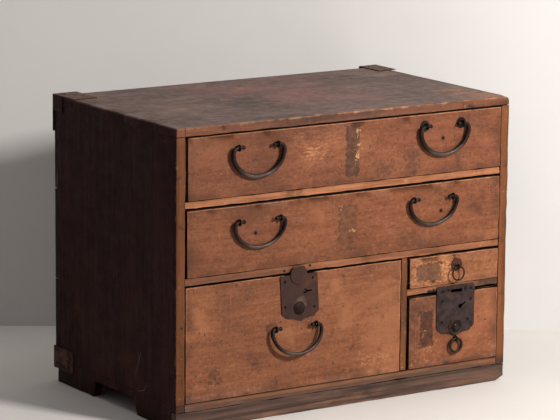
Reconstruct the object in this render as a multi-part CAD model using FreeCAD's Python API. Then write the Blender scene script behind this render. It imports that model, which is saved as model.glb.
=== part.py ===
import FreeCAD, Part
import math
import os

Vector = FreeCAD.Vector

# Driving dimensions, in millimetres: +X right, +Y to the rear, +Z up, floor at zero
# Carcase, two shaku wide
carcase_width = 606.0
carcase_height = 454.5
side_depth = 355.0
side_thickness = 15.0
top_thickness = 14.0
bottom_thickness = 13.0
plinth_height = 27.0
plinth_thickness = 14.0
plinth_end_chamfer = 7.0
back_thickness = 8.6
back_board_count = 3
back_board_seam = 0.5
back_top_drop = 3.0
back_side_inset = 1.0
back_foot_clearance = 22.0
comb_finger_count = 7
top_left_edge_round = 3.0
top_right_edge_round = 8.0

# Feet, left by a splayed notch in each side
front_foot_length = 113.0
rear_foot_length = 110.0
notch_height = 25.0
notch_splay = 8.0

# Rails, shelf and divider, all housed in grooves
rail_thickness = 11.0
rail_depth = 45.0
rail_setback = 0.8
housing_depth = 5.0
housing_stop = 12.0
divider_left_face = 102.5
divider_thickness = 11.0
divider_housing = 4.0
shelf_thickness = 10.5
runner_width = 22.0

# Heights of the drawer bays, kept in this ratio when the carcase is made taller or lower
top_bay_height = 96.5
middle_bay_height = 104.0
deep_bay_height = 178.0
small_bay_height = 50.5

# Drawers
drawer_front_thickness = 15.0
drawer_lip = 8.0
drawer_side_thickness = 9.0
drawer_side_drop = 3.0
drawer_back_thickness = 8.0
drawer_back_inset = 6.0
drawer_bottom_thickness = 6.0
drawer_rear_gap = 5.0
running_gap = 0.3
fit_gap = 0.05
cut_overrun = 1.0

# Play of each drawer in its bay: left, right and above
top_drawer_left_gap = 5.2
top_drawer_right_gap = 0.6
top_drawer_top_gap = 2.4
middle_drawer_left_gap = 4.0
middle_drawer_right_gap = 0.6
middle_drawer_top_gap = 3.6
deep_drawer_left_gap = 1.7
deep_drawer_right_gap = 1.6
deep_drawer_top_gap = 2.5
small_drawer_left_gap = 4.9
small_drawer_right_gap = 0.6
small_drawer_top_gap = 3.6
strong_drawer_left_gap = 5.0
strong_drawer_right_gap = 0.6
strong_drawer_top_gap = 4.6

# Bail handles: the top pair is heavier, and the deep one is stiff and stands out from its front
pivot_standoff = 6.7
stub_radius = 2.4
collar_width = 5.0
collar_depth = 5.6
stub_inner_share = 0.79
stub_clearance = 0.35
end_knob_radius = 3.1
shoulder_start_gap = 1.2
bow_rest_gap = 0.8
deep_bow_rest_gap = 10.5
heavy_pin_spacing = 68.8
heavy_bail_width = 97.0
heavy_bail_drop = 49.5
heavy_rod_width = 7.2
heavy_rod_depth = 7.8
light_pin_spacing = 73.0
light_bail_width = 94.0
light_bail_drop = 44.0
light_rod_width = 5.9
light_rod_depth = 6.4

# Bail places on the fronts: x from the near end of a long front or from the middle of the
# deep one, z from the top edge
top_left_bail_x = 118.5
top_left_bail_z = -20.2
top_right_bail_x = -112.2
top_right_bail_z = -17.8
middle_left_bail_x = 123.1
middle_left_bail_z = -23.3
middle_right_bail_x = -130.7
middle_right_bail_z = -21.5
deep_bail_x = -2.0
deep_bail_z = -79.5

# Cotter pins that carry the bails
eye_wire_radius = 1.2
pin_shank_radius = 2.2
pin_leg_length = 13.0
pin_leg_width = 3.6
pin_leg_thickness = 1.6
eye_round_share = 0.7
washer_radius = 8.5
washer_thickness = 1.4

# Ring pulls: x from the middle of the drawer front, z from its top edge
small_ring_radius = 10.9
small_ring_wire_radius = 1.2
small_ring_x = 0.9
small_ring_pivot_z = -18.4
small_ring_standoff = 9.5
ring_plate_radius = 10.0
ring_plate_thickness = 1.6
ring_plate_x = 2.6
ring_plate_rise = 1.2
strong_ring_x = 1.25
strong_ring_radius = 10.8
strong_ring_wire_radius = 2.1
strong_ring_pivot_z = -71.8
ring_standoff = 5.6
ring_eye_wire_radius = 1.1
ring_shank_radius = 1.7
ring_clearance = 0.4
ring_leg_length = 8.0

# Lock plates, placed as the ring pulls are
lock_plate_thickness = 1.8
deep_plate_x = 4.2
deep_plate_skew = 4.4
deep_plate_width = 66.6
deep_plate_top = -1.0
deep_plate_corner = 1.5
deep_plate_shoulder = -56.0
deep_plate_point = -73.2
deep_tab_x = 3.3
deep_tab_radius = 14.8
deep_tab_centre_z = -0.5
deep_tab_top = 11.3
deep_tab_thickness = 1.4
deep_boss_x = 5.3
deep_boss_z = -52.5
deep_boss_radius = 10.5
deep_boss_height = 3.6
deep_keyhole_x = 15.8
deep_keyhole_z = -27.5
strong_plate_x = 2.25
strong_plate_width = 72.4
strong_plate_top = 12.6
strong_plate_corner = 4.0
strong_plate_shoulder = -51.0
strong_plate_point = -68.4
strong_boss_z = -53.8
strong_boss_radius = 13.6
strong_boss_flutes = 20
strong_flute_radius = 1.2
strong_boss_thickness = 1.6
strong_knob_radius = 5.0
strong_knob_height = 2.8
strong_slot_x = 3.75
strong_slot_width = 21.5
strong_slot_height = 5.2
strong_slot_z = 3.6
strong_keyhole_x = 11.55
strong_keyhole_z = -21.9
keyhole_radius = 3.4
keyhole_slit_length = 11.6
keyhole_slit_width = 2.4
strong_keyhole_tilt = 30.0

# Lock works behind the fronts
case_width = 58.0
case_height = 46.0
case_depth = 13.0
case_wall = 1.5
case_drop = 9.0
bolt_width = 18.0
bolt_thickness = 3.5
bolt_tail = 34.0
bolt_rest_drop = 2.0
bolt_travel_deep = 9.0
bolt_travel_strong = 11.0
bolt_clearance = 0.3
spring_thickness = 0.8
spring_width = 8.0
spring_bow = 3.0
key_post_radius = 1.5
key_post_recess = 0.6

# Corner irons and nails: the right top iron is the smaller
iron_thickness = 1.6
iron_top_width = 42.0
iron_top_depth = 64.0
right_iron_width = 34.0
right_iron_depth = 57.0
iron_back_height = 58.0
iron_side_length = 30.0
iron_side_height = 26.0
iron_foot_length = 60.0
iron_foot_height = 35.0
iron_corner_radius = 4.0
iron_foot_back = 40.0
nail_shank_radius = 1.0
nail_head_radius = 2.2
nail_head_height = 1.1
nail_length = 10.0

# Places that follow from the driving dimensions
half_width = carcase_width / 2
inner_half = half_width - side_thickness
eye_inner = stub_radius + stub_clearance
eye_reach = pivot_standoff + eye_inner + 2 * eye_wire_radius
handle_reach = max(eye_reach, deep_bow_rest_gap + light_rod_depth)
front = -(side_depth + back_thickness + iron_thickness - handle_reach) / 2
side_rear = front + side_depth
rear = side_rear + back_thickness
top_under = carcase_height - top_thickness
bottom_top = plinth_height + bottom_thickness
bay_space = top_under - bottom_top - 2 * rail_thickness
bay_ratio = bay_space / (top_bay_height + middle_bay_height + deep_bay_height)
upper_rail_top = top_under - top_bay_height * bay_ratio
upper_rail_under = upper_rail_top - rail_thickness
lower_rail_top = upper_rail_under - middle_bay_height * bay_ratio
lower_rail_under = lower_rail_top - rail_thickness
shelf_top = lower_rail_under - small_bay_height * bay_ratio
shelf_under = shelf_top - shelf_thickness
divider_right_face = divider_left_face + divider_thickness
rail_front = front + rail_setback
shank_rear = front + drawer_front_thickness
drawer_end = side_rear - drawer_rear_gap

os.makedirs("parts", exist_ok=True)


# Shapes that recur
def block(x0, x1, y0, y1, z0, z1):
    return Part.makeBox(x1 - x0, y1 - y0, z1 - z0, Vector(x0, y0, z0))


def round_bar(start, end, radius):
    axis = end - start
    return Part.makeCylinder(radius, axis.Length, start, axis)


def joined(solids):
    whole = solids[0]
    for solid in solids[1:]:
        whole = whole.fuse(solid)
    return whole.removeSplitter()


def save(node, *solids):
    shape = solids[0] if len(solids) == 1 else Part.makeCompound(list(solids))
    shape.exportStep(f"parts/{node}.step")


def face_prism(points, y0, y1):
    """A solid of a front-view outline, from depth y0 to y1; a middle point makes an arc."""
    edges = []
    for piece in points:
        ends = [Vector(x, y0, z) for x, z in piece]
        if len(ends) == 2:
            edges.append(Part.LineSegment(*ends).toShape())
        else:
            edges.append(Part.Arc(*ends).toShape())
    return Part.Face(Part.Wire(edges)).extrude(Vector(0, y1 - y0, 0))


def dome(seat, outward, radius, height, shank_radius=0, shank_length=0):
    """A low round cap on its seat, turned about outward, with a shank behind it if asked."""
    side = Vector(outward.z, outward.x, outward.y)
    ball_radius = (radius**2 + height**2) / (2 * height)
    ball_centre = seat + outward * (height - ball_radius)
    half_turn = math.asin(radius / ball_radius) / 2
    bulge = ball_centre + (outward * math.cos(half_turn) + side * math.sin(half_turn)) * ball_radius
    rim = seat + side * radius
    crown = seat + outward * height
    profile = [Part.Arc(crown, bulge, rim).toShape()]
    corners = [rim, seat, crown]
    if shank_length:
        tip = seat - outward * shank_length
        corners = [rim, seat + side * shank_radius, tip + side * shank_radius, tip, crown]
    for start, end in zip(corners, corners[1:]):
        profile.append(Part.LineSegment(start, end).toShape())
    return Part.Face(Part.Wire(profile)).revolve(seat, outward, 360)


# A nail: a low domed head on a seat, and a shank into the wood along inward
def nail(seat, inward):
    return dome(seat, -inward, nail_head_radius, nail_head_height, nail_shank_radius, nail_length)


def nail_hole(seat, inward):
    start = seat - inward * cut_overrun
    end = seat + inward * (nail_length + fit_gap)
    return round_bar(start, end, nail_shank_radius + fit_gap)


# Housed boards: a board between two faces with a tongue at each end
def end_tongues(x0, x1, y0, y1, z0, z1, depth):
    start = y0 + housing_stop
    return [block(x0 - depth, x0, start, y1, z0, z1), block(x1, x1 + depth, start, y1, z0, z1)]


bottom_tongues = end_tongues(
    -inner_half, inner_half, front, side_rear, plinth_height, bottom_top, housing_depth
)
bottom_body = block(-inner_half, inner_half, front, side_rear, plinth_height, bottom_top)
bottom_board = joined([bottom_body] + bottom_tongues)

rail_rear = rail_front + rail_depth
upper_tongues = end_tongues(
    -inner_half, inner_half, rail_front, rail_rear, upper_rail_under, upper_rail_top, housing_depth
)
upper_body = block(
    -inner_half, inner_half, rail_front, rail_rear, upper_rail_under, upper_rail_top
)
upper_rail = joined([upper_body] + upper_tongues)
lower_tongues = end_tongues(
    -inner_half, inner_half, rail_front, rail_rear, lower_rail_under, lower_rail_top, housing_depth
)
lower_body = block(
    -inner_half, inner_half, rail_front, rail_rear, lower_rail_under, lower_rail_top
)
lower_rail = joined([lower_body] + lower_tongues)

shelf_tongue_start = rail_front + housing_stop
shelf_left_tongue = block(
    divider_right_face - divider_housing, divider_right_face,
    shelf_tongue_start, side_rear, shelf_under, shelf_top,
)
shelf_right_tongue = block(
    inner_half, inner_half + housing_depth, shelf_tongue_start, side_rear, shelf_under, shelf_top
)
shelf_body = block(divider_right_face, inner_half, rail_front, side_rear, shelf_under, shelf_top)
small_shelf = joined([shelf_body, shelf_left_tongue, shelf_right_tongue])

# Divider: stands in a groove of the bottom board, with its top in a groove of the lower rail
divider_foot = block(
    divider_left_face, divider_right_face, rail_front + housing_stop, side_rear,
    bottom_top - divider_housing, bottom_top,
)
divider_head = block(
    divider_left_face, divider_right_face, rail_front + housing_stop, rail_rear,
    lower_rail_under, lower_rail_under + divider_housing,
)
divider_body = block(
    divider_left_face, divider_right_face, rail_front, side_rear, bottom_top, lower_rail_under
)
divider = joined([divider_body, divider_foot, divider_head]).cut(shelf_left_tongue)
bottom_board = bottom_board.cut(divider_foot)
lower_rail = lower_rail.cut(divider_head)

# Sides and top, comb-jointed along their top edges and rounded by wear there
finger_length = side_depth / comb_finger_count
side_edges = {"left_side": -half_width, "right_side": inner_half}
envelope = block(-half_width, half_width, front, side_rear, 0, carcase_height)
worn_edges = {top_left_edge_round: -half_width, top_right_edge_round: half_width}
for radius, edge_x in worn_edges.items():
    corner = [
        edge
        for edge in envelope.Edges
        if abs(edge.CenterOfMass.z - carcase_height) < fit_gap
        and abs(edge.CenterOfMass.x - edge_x) < fit_gap
    ]
    envelope = envelope.makeFillet(radius, corner)

notch_front = front + front_foot_length
notch_rear = side_rear - rear_foot_length
notch_corners = [
    (notch_front, 0),
    (notch_front + notch_splay, notch_height),
    (notch_rear - notch_splay, notch_height),
    (notch_rear, 0),
    (notch_front, 0),
]


def foot_notch(x0, x1):
    outline = Part.makePolygon([Vector(x0, y, z) for y, z in notch_corners])
    return Part.Face(outline).extrude(Vector(x1 - x0, 0, 0))


top_board = block(-inner_half, inner_half, front, side_rear, top_under, carcase_height)
sides = {}
for name, x0 in side_edges.items():
    x1 = x0 + side_thickness
    side = block(x0, x1, front, side_rear, 0, top_under)
    side = side.cut(block(x0, x1, front, front + plinth_thickness, 0, plinth_height))
    side = side.cut(foot_notch(x0, x1))
    for finger in range(comb_finger_count):
        y0 = front + finger * finger_length
        tooth = block(x0, x1, y0, y0 + finger_length, top_under, carcase_height)
        if finger % 2:
            side = side.fuse(tooth)
        else:
            top_board = top_board.fuse(tooth)
    side = side.cut(Part.makeCompound(bottom_tongues + upper_tongues + lower_tongues))
    sides[name] = side.removeSplitter().common(envelope)
top_board = top_board.removeSplitter().common(envelope)
sides["right_side"] = sides["right_side"].cut(shelf_right_tongue)

# Front plinth, its lower right corner worn away
plinth_outline = [
    (-half_width, 0),
    (half_width - side_thickness, 0),
    (half_width, plinth_end_chamfer),
    (half_width, plinth_height),
    (-half_width, plinth_height),
    (-half_width, 0),
]
plinth_face = Part.Face(Part.makePolygon([Vector(x, front, z) for x, z in plinth_outline]))
front_plinth = plinth_face.extrude(Vector(0, plinth_thickness, 0))

# Runners: strips on the sides, level with the two long rails
runners = []
for under, top in ((upper_rail_under, upper_rail_top), (lower_rail_under, lower_rail_top)):
    runners.append(block(-inner_half, runner_width - inner_half, rail_rear, side_rear, under, top))
    runners.append(block(inner_half - runner_width, inner_half, rail_rear, side_rear, under, top))

# Back boards, laid edge to edge across the rear edges of the sides
back_top = carcase_height - back_top_drop
back_edge = half_width - back_side_inset
back_board_height = (back_top - back_foot_clearance) / back_board_count
back_boards = []
for row in range(back_board_count):
    z0 = back_foot_clearance + row * back_board_height
    z1 = z0 + back_board_height - back_board_seam
    back_boards.append(block(-back_edge, back_edge, side_rear, rear, z0, z1))

# Corner irons: strap iron bent over the rear edges, top and bottom
iron_rear = rear + iron_thickness
top_irons = []
foot_irons = []
nails = []
nail_column_share = 0.3
nail_row_shares = (0.25, 0.7)
top_iron_sizes = ((-1, iron_top_width, iron_top_depth), (1, right_iron_width, right_iron_depth))
for side_sign, top_width, top_depth in top_iron_sizes:
    outside = side_sign * half_width
    foot_outer = outside + side_sign * iron_thickness
    fx0, fx1 = min(outside, foot_outer), max(outside, foot_outer)
    inner = foot_outer - side_sign * top_width
    x0, x1 = min(foot_outer, inner), max(foot_outer, inner)
    iron_top = carcase_height + iron_thickness
    over = block(x0, x1, iron_rear - top_depth, iron_rear, carcase_height, iron_top)
    down = block(x0, x1, rear, iron_rear, iron_top - iron_back_height, iron_top)
    beside_start = iron_rear - iron_side_length
    beside = block(fx0, fx1, beside_start, iron_rear, iron_top - iron_side_height, iron_top)
    top_irons.append(joined([over, down, beside]))
    foot_top = back_foot_clearance + iron_foot_height
    foot_start = iron_rear - iron_foot_length
    along = block(fx0, fx1, foot_start, iron_rear, back_foot_clearance, foot_top)
    corners = [
        edge for edge in along.Edges
        if edge.BoundBox.YMax < foot_start + fit_gap and edge.BoundBox.XLength > fit_gap
    ]
    along = along.makeFillet(iron_corner_radius, corners)
    bx = foot_outer - side_sign * iron_foot_back
    bx0, bx1 = min(foot_outer, bx), max(foot_outer, bx)
    behind = block(bx0, bx1, rear, iron_rear, back_foot_clearance, foot_top)
    foot_irons.append(joined([along, behind]))
    column = x0 + nail_column_share * top_width
    far_column = x1 - nail_column_share * top_width
    for row_share in nail_row_shares:
        y = iron_rear - row_share * top_depth
        z = iron_top - row_share * iron_back_height
        place = column if row_share == nail_row_shares[0] else far_column
        if y < side_rear - nail_head_radius:
            nails.append((Vector(place, y, iron_top), Vector(0, 0, -1)))
        nails.append((Vector(place, iron_rear, z), Vector(0, -1, 0)))
    middle_z = back_foot_clearance + iron_foot_height / 2
    foot_nail_y = iron_rear - nail_row_shares[1] * iron_foot_length
    nails.append((Vector(foot_outer, foot_nail_y, middle_z), Vector(-side_sign, 0, 0)))
    foot_nail_x = foot_outer - side_sign * nail_row_shares[1] * iron_foot_back
    nails.append((Vector(foot_nail_x, iron_rear, middle_z), Vector(0, -1, 0)))

# Nails of the back boards, into the rear edges of the sides
back_nail_shares = (0.35, 0.65)
for row in range(back_board_count):
    for height_share in back_nail_shares:
        z = back_foot_clearance + (row + height_share) * back_board_height
        for side_sign in (-1, 1):
            x = side_sign * (half_width - side_thickness / 2)
            seat = Vector(x, rear, z)
            clear = all(iron.distToShape(Part.Vertex(seat))[0] > nail_head_radius
                        for iron in top_irons + foot_irons)
            if clear:
                nails.append((seat, Vector(0, -1, 0)))

carcase_holes = Part.makeCompound([nail_hole(*place) for place in nails])
save("left_side", sides["left_side"].cut(carcase_holes))
save("right_side", sides["right_side"].cut(carcase_holes))
save("top_board", top_board.cut(carcase_holes))
save("bottom_board", bottom_board.cut(carcase_holes))
save("front_plinth", front_plinth)
save("upper_rail", upper_rail)
save("divider", divider)
save("drawer_runners", *runners)
save("back_boards", *[board.cut(carcase_holes) for board in back_boards])
save("corner_irons_top", *[iron.cut(carcase_holes) for iron in top_irons])
save("corner_irons_bottom", *[iron.cut(carcase_holes) for iron in foot_irons])
save("carcase_nails", *[nail(*place) for place in nails])


# Drawer boxes: a rabbeted front, two sides, a back between them and a bottom nailed under
def drawer(x0, x1, z0, z1):
    rebate_y = front + drawer_lip
    inside_y = front + drawer_front_thickness
    floor_z = z0 + drawer_bottom_thickness
    side_top = z1 - drawer_side_drop
    left = block(x0, x0 + drawer_side_thickness, rebate_y, drawer_end, floor_z, side_top)
    right = block(x1 - drawer_side_thickness, x1, rebate_y, drawer_end, floor_z, side_top)
    floor = block(x0, x1, rebate_y, drawer_end, z0, floor_z)
    face = block(x0, x1, front, inside_y, z0, z1)
    back = block(
        x0 + drawer_side_thickness, x1 - drawer_side_thickness,
        drawer_end - drawer_back_inset - drawer_back_thickness, drawer_end - drawer_back_inset,
        floor_z, side_top,
    )
    left_rebate = block(x0, x0 + drawer_side_thickness, rebate_y, inside_y, z0, side_top)
    right_rebate = block(x1 - drawer_side_thickness, x1, rebate_y, inside_y, z0, side_top)
    face = face.cut(Part.makeCompound([left_rebate, right_rebate, floor]))
    marks = {"left": x0, "middle": (x0 + x1) / 2, "right": x1, "top": z1}
    return {"front": face, "sides": [left, right], "back": back, "bottom": floor} | marks


drawers = {
    "top": drawer(
        top_drawer_left_gap - inner_half, inner_half - top_drawer_right_gap,
        upper_rail_top + running_gap, top_under - top_drawer_top_gap,
    ),
    "middle": drawer(
        middle_drawer_left_gap - inner_half, inner_half - middle_drawer_right_gap,
        lower_rail_top + running_gap, upper_rail_under - middle_drawer_top_gap,
    ),
    "deep": drawer(
        deep_drawer_left_gap - inner_half, divider_left_face - deep_drawer_right_gap,
        bottom_top + running_gap, lower_rail_under - deep_drawer_top_gap,
    ),
    "small": drawer(
        divider_right_face + small_drawer_left_gap, inner_half - small_drawer_right_gap,
        shelf_top + running_gap, lower_rail_under - small_drawer_top_gap,
    ),
    "strong": drawer(
        divider_right_face + strong_drawer_left_gap, inner_half - strong_drawer_right_gap,
        bottom_top + running_gap, shelf_under - strong_drawer_top_gap,
    ),
}


def on_front(owner, x, z, start="middle"):
    return drawers[owner][start] + x, drawers[owner]["top"] + z


# Cotter pins: an eye in front, a shank through the front and two legs clinched inside
def cotter(x, pivot_y, z, eye_inner, wire, shank, leg_axis, leg_length):
    left = Vector(x - wire, pivot_y, z)
    right = Vector(x + wire, pivot_y, z)
    eye = round_bar(left, right, eye_inner + 2 * wire).cut(round_bar(left, right, eye_inner))
    rims = [edge for edge in eye.Edges if edge.Closed and isinstance(edge.Curve, Part.Circle)]
    eye = eye.makeFillet(eye_round_share * wire, rims)
    neck_y = pivot_y + eye_inner + wire
    stem = round_bar(Vector(x, neck_y, z), Vector(x, shank_rear + pin_leg_thickness, z), shank)
    across = leg_length if leg_axis == "x" else pin_leg_width / 2
    upright = leg_length if leg_axis == "z" else pin_leg_width / 2
    legs = block(
        x - across, x + across, shank_rear, shank_rear + pin_leg_thickness, z - upright, z + upright
    )
    return joined([eye, stem, legs])


def cotter_hole(x, z, shank):
    start = Vector(x, front - pivot_standoff, z)
    return round_bar(start, Vector(x, shank_rear + cut_overrun, z), shank + fit_gap)


# Bails: a rod that swells from its two round stubs to a heavy oval bow, which hangs off the front
bail_axis_y = front - pivot_standoff
shoulder_swell_share = 0.85
shoulder_steps = 3
bow_steps = 6


def oval(centre, tangent, width, depth):
    along_depth = Vector(0, 1, 0)
    across = along_depth.cross(tangent).normalize()
    ring = Part.Ellipse(centre + along_depth * (depth / 2), centre + across * (width / 2), centre)
    return Part.Wire(ring.toShape())


def bail(x, z, rest_gap, pin_spacing, width, drop, rod_width, rod_depth):
    half_pins = pin_spacing / 2
    shoulder_x = half_pins + eye_wire_radius + shoulder_start_gap
    bow_half = (width - rod_width) / 2
    shoulder_radius = bow_half - shoulder_x
    bow_drop = drop - rod_width / 2 - shoulder_radius
    stations = []
    for step in range(shoulder_steps + 1):
        turn = math.radians(90) * step / shoulder_steps
        sine, cosine = math.sin(turn), math.cos(turn)
        place = Vector(-shoulder_x - shoulder_radius * sine, 0, shoulder_radius * (cosine - 1))
        stations.append((place, Vector(-cosine, 0, -sine), shoulder_swell_share * step / shoulder_steps))
    for step in range(1, bow_steps + 1):
        turn = math.radians(90) * step / bow_steps
        sine, cosine = math.sin(turn), math.cos(turn)
        place = Vector(-bow_half * cosine, 0, -shoulder_radius - bow_drop * sine)
        tangent = Vector(bow_half * sine, 0, -bow_drop * cosine).normalize()
        stations.append((place, tangent, shoulder_swell_share + (1 - shoulder_swell_share) * sine))
    for place, tangent, share in reversed(stations[:-1]):
        mirrored = Vector(-place.x, place.y, place.z)
        stations.append((mirrored, Vector(tangent.x, 0, -tangent.z), share))
    hub = Vector(x, bail_axis_y, z)
    wires = []
    for place, tangent, share in stations:
        section_width = collar_width + share * (rod_width - collar_width)
        section_depth = collar_depth + share * (rod_depth - collar_depth)
        wires.append(oval(hub + place, tangent, section_width, section_depth))
    rod = Part.makeLoft(wires, True)
    for hand in (-1, 1):
        tip = hub + Vector(hand * half_pins * stub_inner_share, 0, 0)
        rod = rod.fuse(round_bar(tip, hub + Vector(hand * shoulder_x, 0, 0), stub_radius))
        rod = rod.fuse(Part.makeSphere(end_knob_radius, tip))
    lean = math.asin((pivot_standoff - rod_depth / 2 - rest_gap) / (drop - rod_width / 2))
    rod.rotate(hub, Vector(1, 0, 0), math.degrees(lean))
    return rod


heavy = (heavy_pin_spacing, heavy_bail_width, heavy_bail_drop, heavy_rod_width, heavy_rod_depth)
light = (light_pin_spacing, light_bail_width, light_bail_drop, light_rod_width, light_rod_depth)
bail_places = {
    "top_left_bail": ("top", *on_front("top", top_left_bail_x, top_left_bail_z, "left"), heavy),
    "top_right_bail": ("top", *on_front("top", top_right_bail_x, top_right_bail_z, "right"), heavy),
    "middle_left_bail": ("middle", *on_front("middle", middle_left_bail_x, middle_left_bail_z, "left"), light),
    "middle_right_bail": (
        "middle", *on_front("middle", middle_right_bail_x, middle_right_bail_z, "right"), light
    ),
    "deep_bail": ("deep", *on_front("deep", deep_bail_x, deep_bail_z), light),
}
stiff_bails = {"deep_bail": deep_bow_rest_gap}
handle_pins = {"top": [], "middle": [], "deep": []}
for name, (owner, x, z, make) in bail_places.items():
    save(name, bail(x, z, stiff_bails.get(name, bow_rest_gap), *make))
    for hand in (-1, 1):
        pin_x = x + hand * make[0] / 2
        pin = cotter(
            pin_x, bail_axis_y, z, eye_inner, eye_wire_radius, pin_shank_radius, "x", pin_leg_length
        )
        handle_pins[owner].append(pin)
        drawers[owner]["front"] = drawers[owner]["front"].cut(cotter_hole(pin_x, z, pin_shank_radius))
for owner, pins in handle_pins.items():
    save(f"{owner}_handle_pins", *pins)

washers = []
washer_x, washer_z = on_front("top", top_right_bail_x, top_right_bail_z, "right")
for hand in (-1, 1):
    seat = Vector(washer_x + hand * heavy_pin_spacing / 2, front, washer_z)
    disc = round_bar(seat, seat - Vector(0, washer_thickness, 0), washer_radius)
    washers.append(disc.cut(cotter_hole(seat.x, seat.z, pin_shank_radius)))
save("top_pin_washers", *washers)


# Ring pulls: a plain ring hung in the eye of a small cotter pin
def ring_pull(owner, x, pivot_z, ring_radius, wire, standoff):
    pivot_y = front - standoff
    centre = Vector(x, pivot_y, pivot_z - ring_radius)
    save(f"{owner}_ring", Part.makeTorus(ring_radius, wire, centre, Vector(0, 1, 0)))
    eye = wire + ring_clearance
    pin = cotter(
        x, pivot_y, pivot_z, eye, ring_eye_wire_radius, ring_shank_radius, "z", ring_leg_length
    )
    save(f"{owner}_ring_pin", pin)
    drawers[owner]["front"] = drawers[owner]["front"].cut(cotter_hole(x, pivot_z, ring_shank_radius))


ring_places = {
    "small": (
        *on_front("small", small_ring_x, small_ring_pivot_z),
        small_ring_radius, small_ring_wire_radius, small_ring_standoff,
    ),
    "strong": (
        *on_front("strong", strong_ring_x, strong_ring_pivot_z),
        strong_ring_radius, strong_ring_wire_radius, ring_standoff,
    ),
}
for owner, place in ring_places.items():
    ring_pull(owner, *place)
ring_x, ring_z = ring_places["small"][:2]
plate_centre = Vector(ring_x + ring_plate_x, front, ring_z + ring_plate_rise)
ring_plate = round_bar(plate_centre, plate_centre - Vector(0, ring_plate_thickness, 0), ring_plate_radius)
save("small_ring_plate", ring_plate.cut(cotter_hole(ring_x, ring_z, ring_shank_radius)))


# Lock plates: straight sides over a lower edge of three lobes each side, meeting in cusps
corner_lobe_shares = (0.04, 0.27)
first_cusp_shares = (0.18, 0.42)
second_lobe_shares = (0.23, 0.59)
second_cusp_shares = (0.35, 0.68)
last_lobe_shares = (0.69, 0.76)
arc_middle = 1 - math.sqrt(0.5)


def plate_outline(x, width, top, corner, shoulder, point, skew):
    half = width / 2

    def lower(shares):
        inward_share, fall_share = shares
        return (x + half * (1 - inward_share), shoulder - fall_share * (shoulder - point))

    rounded = (x + half - corner * arc_middle, top - corner * arc_middle)
    side_top = (x + half, top - corner)
    side_foot = (x + half, shoulder)
    right = [
        [(x + half - corner, top), rounded, side_top],
        [side_top, side_foot],
        [side_foot, lower(corner_lobe_shares), lower(first_cusp_shares)],
        [lower(first_cusp_shares), lower(second_lobe_shares), lower(second_cusp_shares)],
        [lower(second_cusp_shares), lower(last_lobe_shares), (x, point)],
    ]
    left = [[(2 * x - px, pz) for px, pz in reversed(piece)] for piece in reversed(right)]
    outline = right + left + [[(x - half + corner, top), (x + half - corner, top)]]
    return [[(px + skew * (top - pz) / (top - point), pz) for px, pz in piece] for piece in outline]


def keyhole(x, z, tilt, y0, y1):
    length = y1 - y0
    start = Vector(x, y0, z)
    hole = Part.makeCylinder(keyhole_radius, length, start, Vector(0, 1, 0))
    slit = block(x, x + keyhole_slit_length, y0, y1, z - keyhole_slit_width / 2, z + keyhole_slit_width / 2)
    slit.rotate(start, Vector(0, 1, 0), -tilt)
    return hole.fuse(slit)


plate_front = front - lock_plate_thickness
deep_middle, deep_plate_top_z = on_front("deep", deep_plate_x, deep_plate_top)
strong_middle, strong_plate_top_z = on_front("strong", strong_plate_x, strong_plate_top)
deep_top = drawers["deep"]["top"]
strong_top = drawers["strong"]["top"]
deep_point_z = deep_top + deep_plate_point
strong_point_z = strong_top + strong_plate_point
deep_plate = face_prism(
    plate_outline(
        deep_middle, deep_plate_width, deep_plate_top_z, deep_plate_corner, deep_top + deep_plate_shoulder,
        deep_point_z, deep_plate_skew,
    ),
    front, plate_front,
)
tab_middle = drawers["deep"]["middle"] + deep_tab_x
tab_rise = deep_tab_top - deep_tab_centre_z
tab_crown = math.sqrt(deep_tab_radius**2 - tab_rise**2)
tab_foot = deep_top + deep_tab_centre_z - deep_tab_radius
tab_left = (tab_middle - tab_crown, deep_top + deep_tab_top)
tab_right = (tab_middle + tab_crown, deep_top + deep_tab_top)
tab_outline = [[tab_left, tab_right], [tab_right, (tab_middle, tab_foot), tab_left]]
deep_tab = face_prism(tab_outline, plate_front, plate_front - deep_tab_thickness)
deep_plate = joined([deep_plate, deep_tab])
hole_start = plate_front - cut_overrun
hole_end = shank_rear + cut_overrun
key_x, key_z = on_front("deep", deep_keyhole_x, deep_keyhole_z)
deep_hole = keyhole(key_x, key_z, 0, hole_start, hole_end)
strong_hole = keyhole(
    *on_front("strong", strong_keyhole_x, strong_keyhole_z), strong_keyhole_tilt, hole_start, hole_end
)
strong_plate = face_prism(
    plate_outline(
        strong_middle, strong_plate_width, strong_plate_top_z, strong_plate_corner,
        strong_top + strong_plate_shoulder, strong_point_z, 0,
    ),
    front, plate_front,
)
slot_x, slot_z = on_front("strong", strong_slot_x, strong_slot_z)
strong_plate = strong_plate.cut(block(
    slot_x - strong_slot_width / 2, slot_x + strong_slot_width / 2,
    plate_front - cut_overrun, front + cut_overrun,
    slot_z - strong_slot_height / 2, slot_z + strong_slot_height / 2,
))
deep_plate = deep_plate.cut(deep_hole)
strong_plate = strong_plate.cut(strong_hole)
drawers["deep"]["front"] = drawers["deep"]["front"].cut(deep_hole)
drawers["strong"]["front"] = drawers["strong"]["front"].cut(strong_hole)


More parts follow.
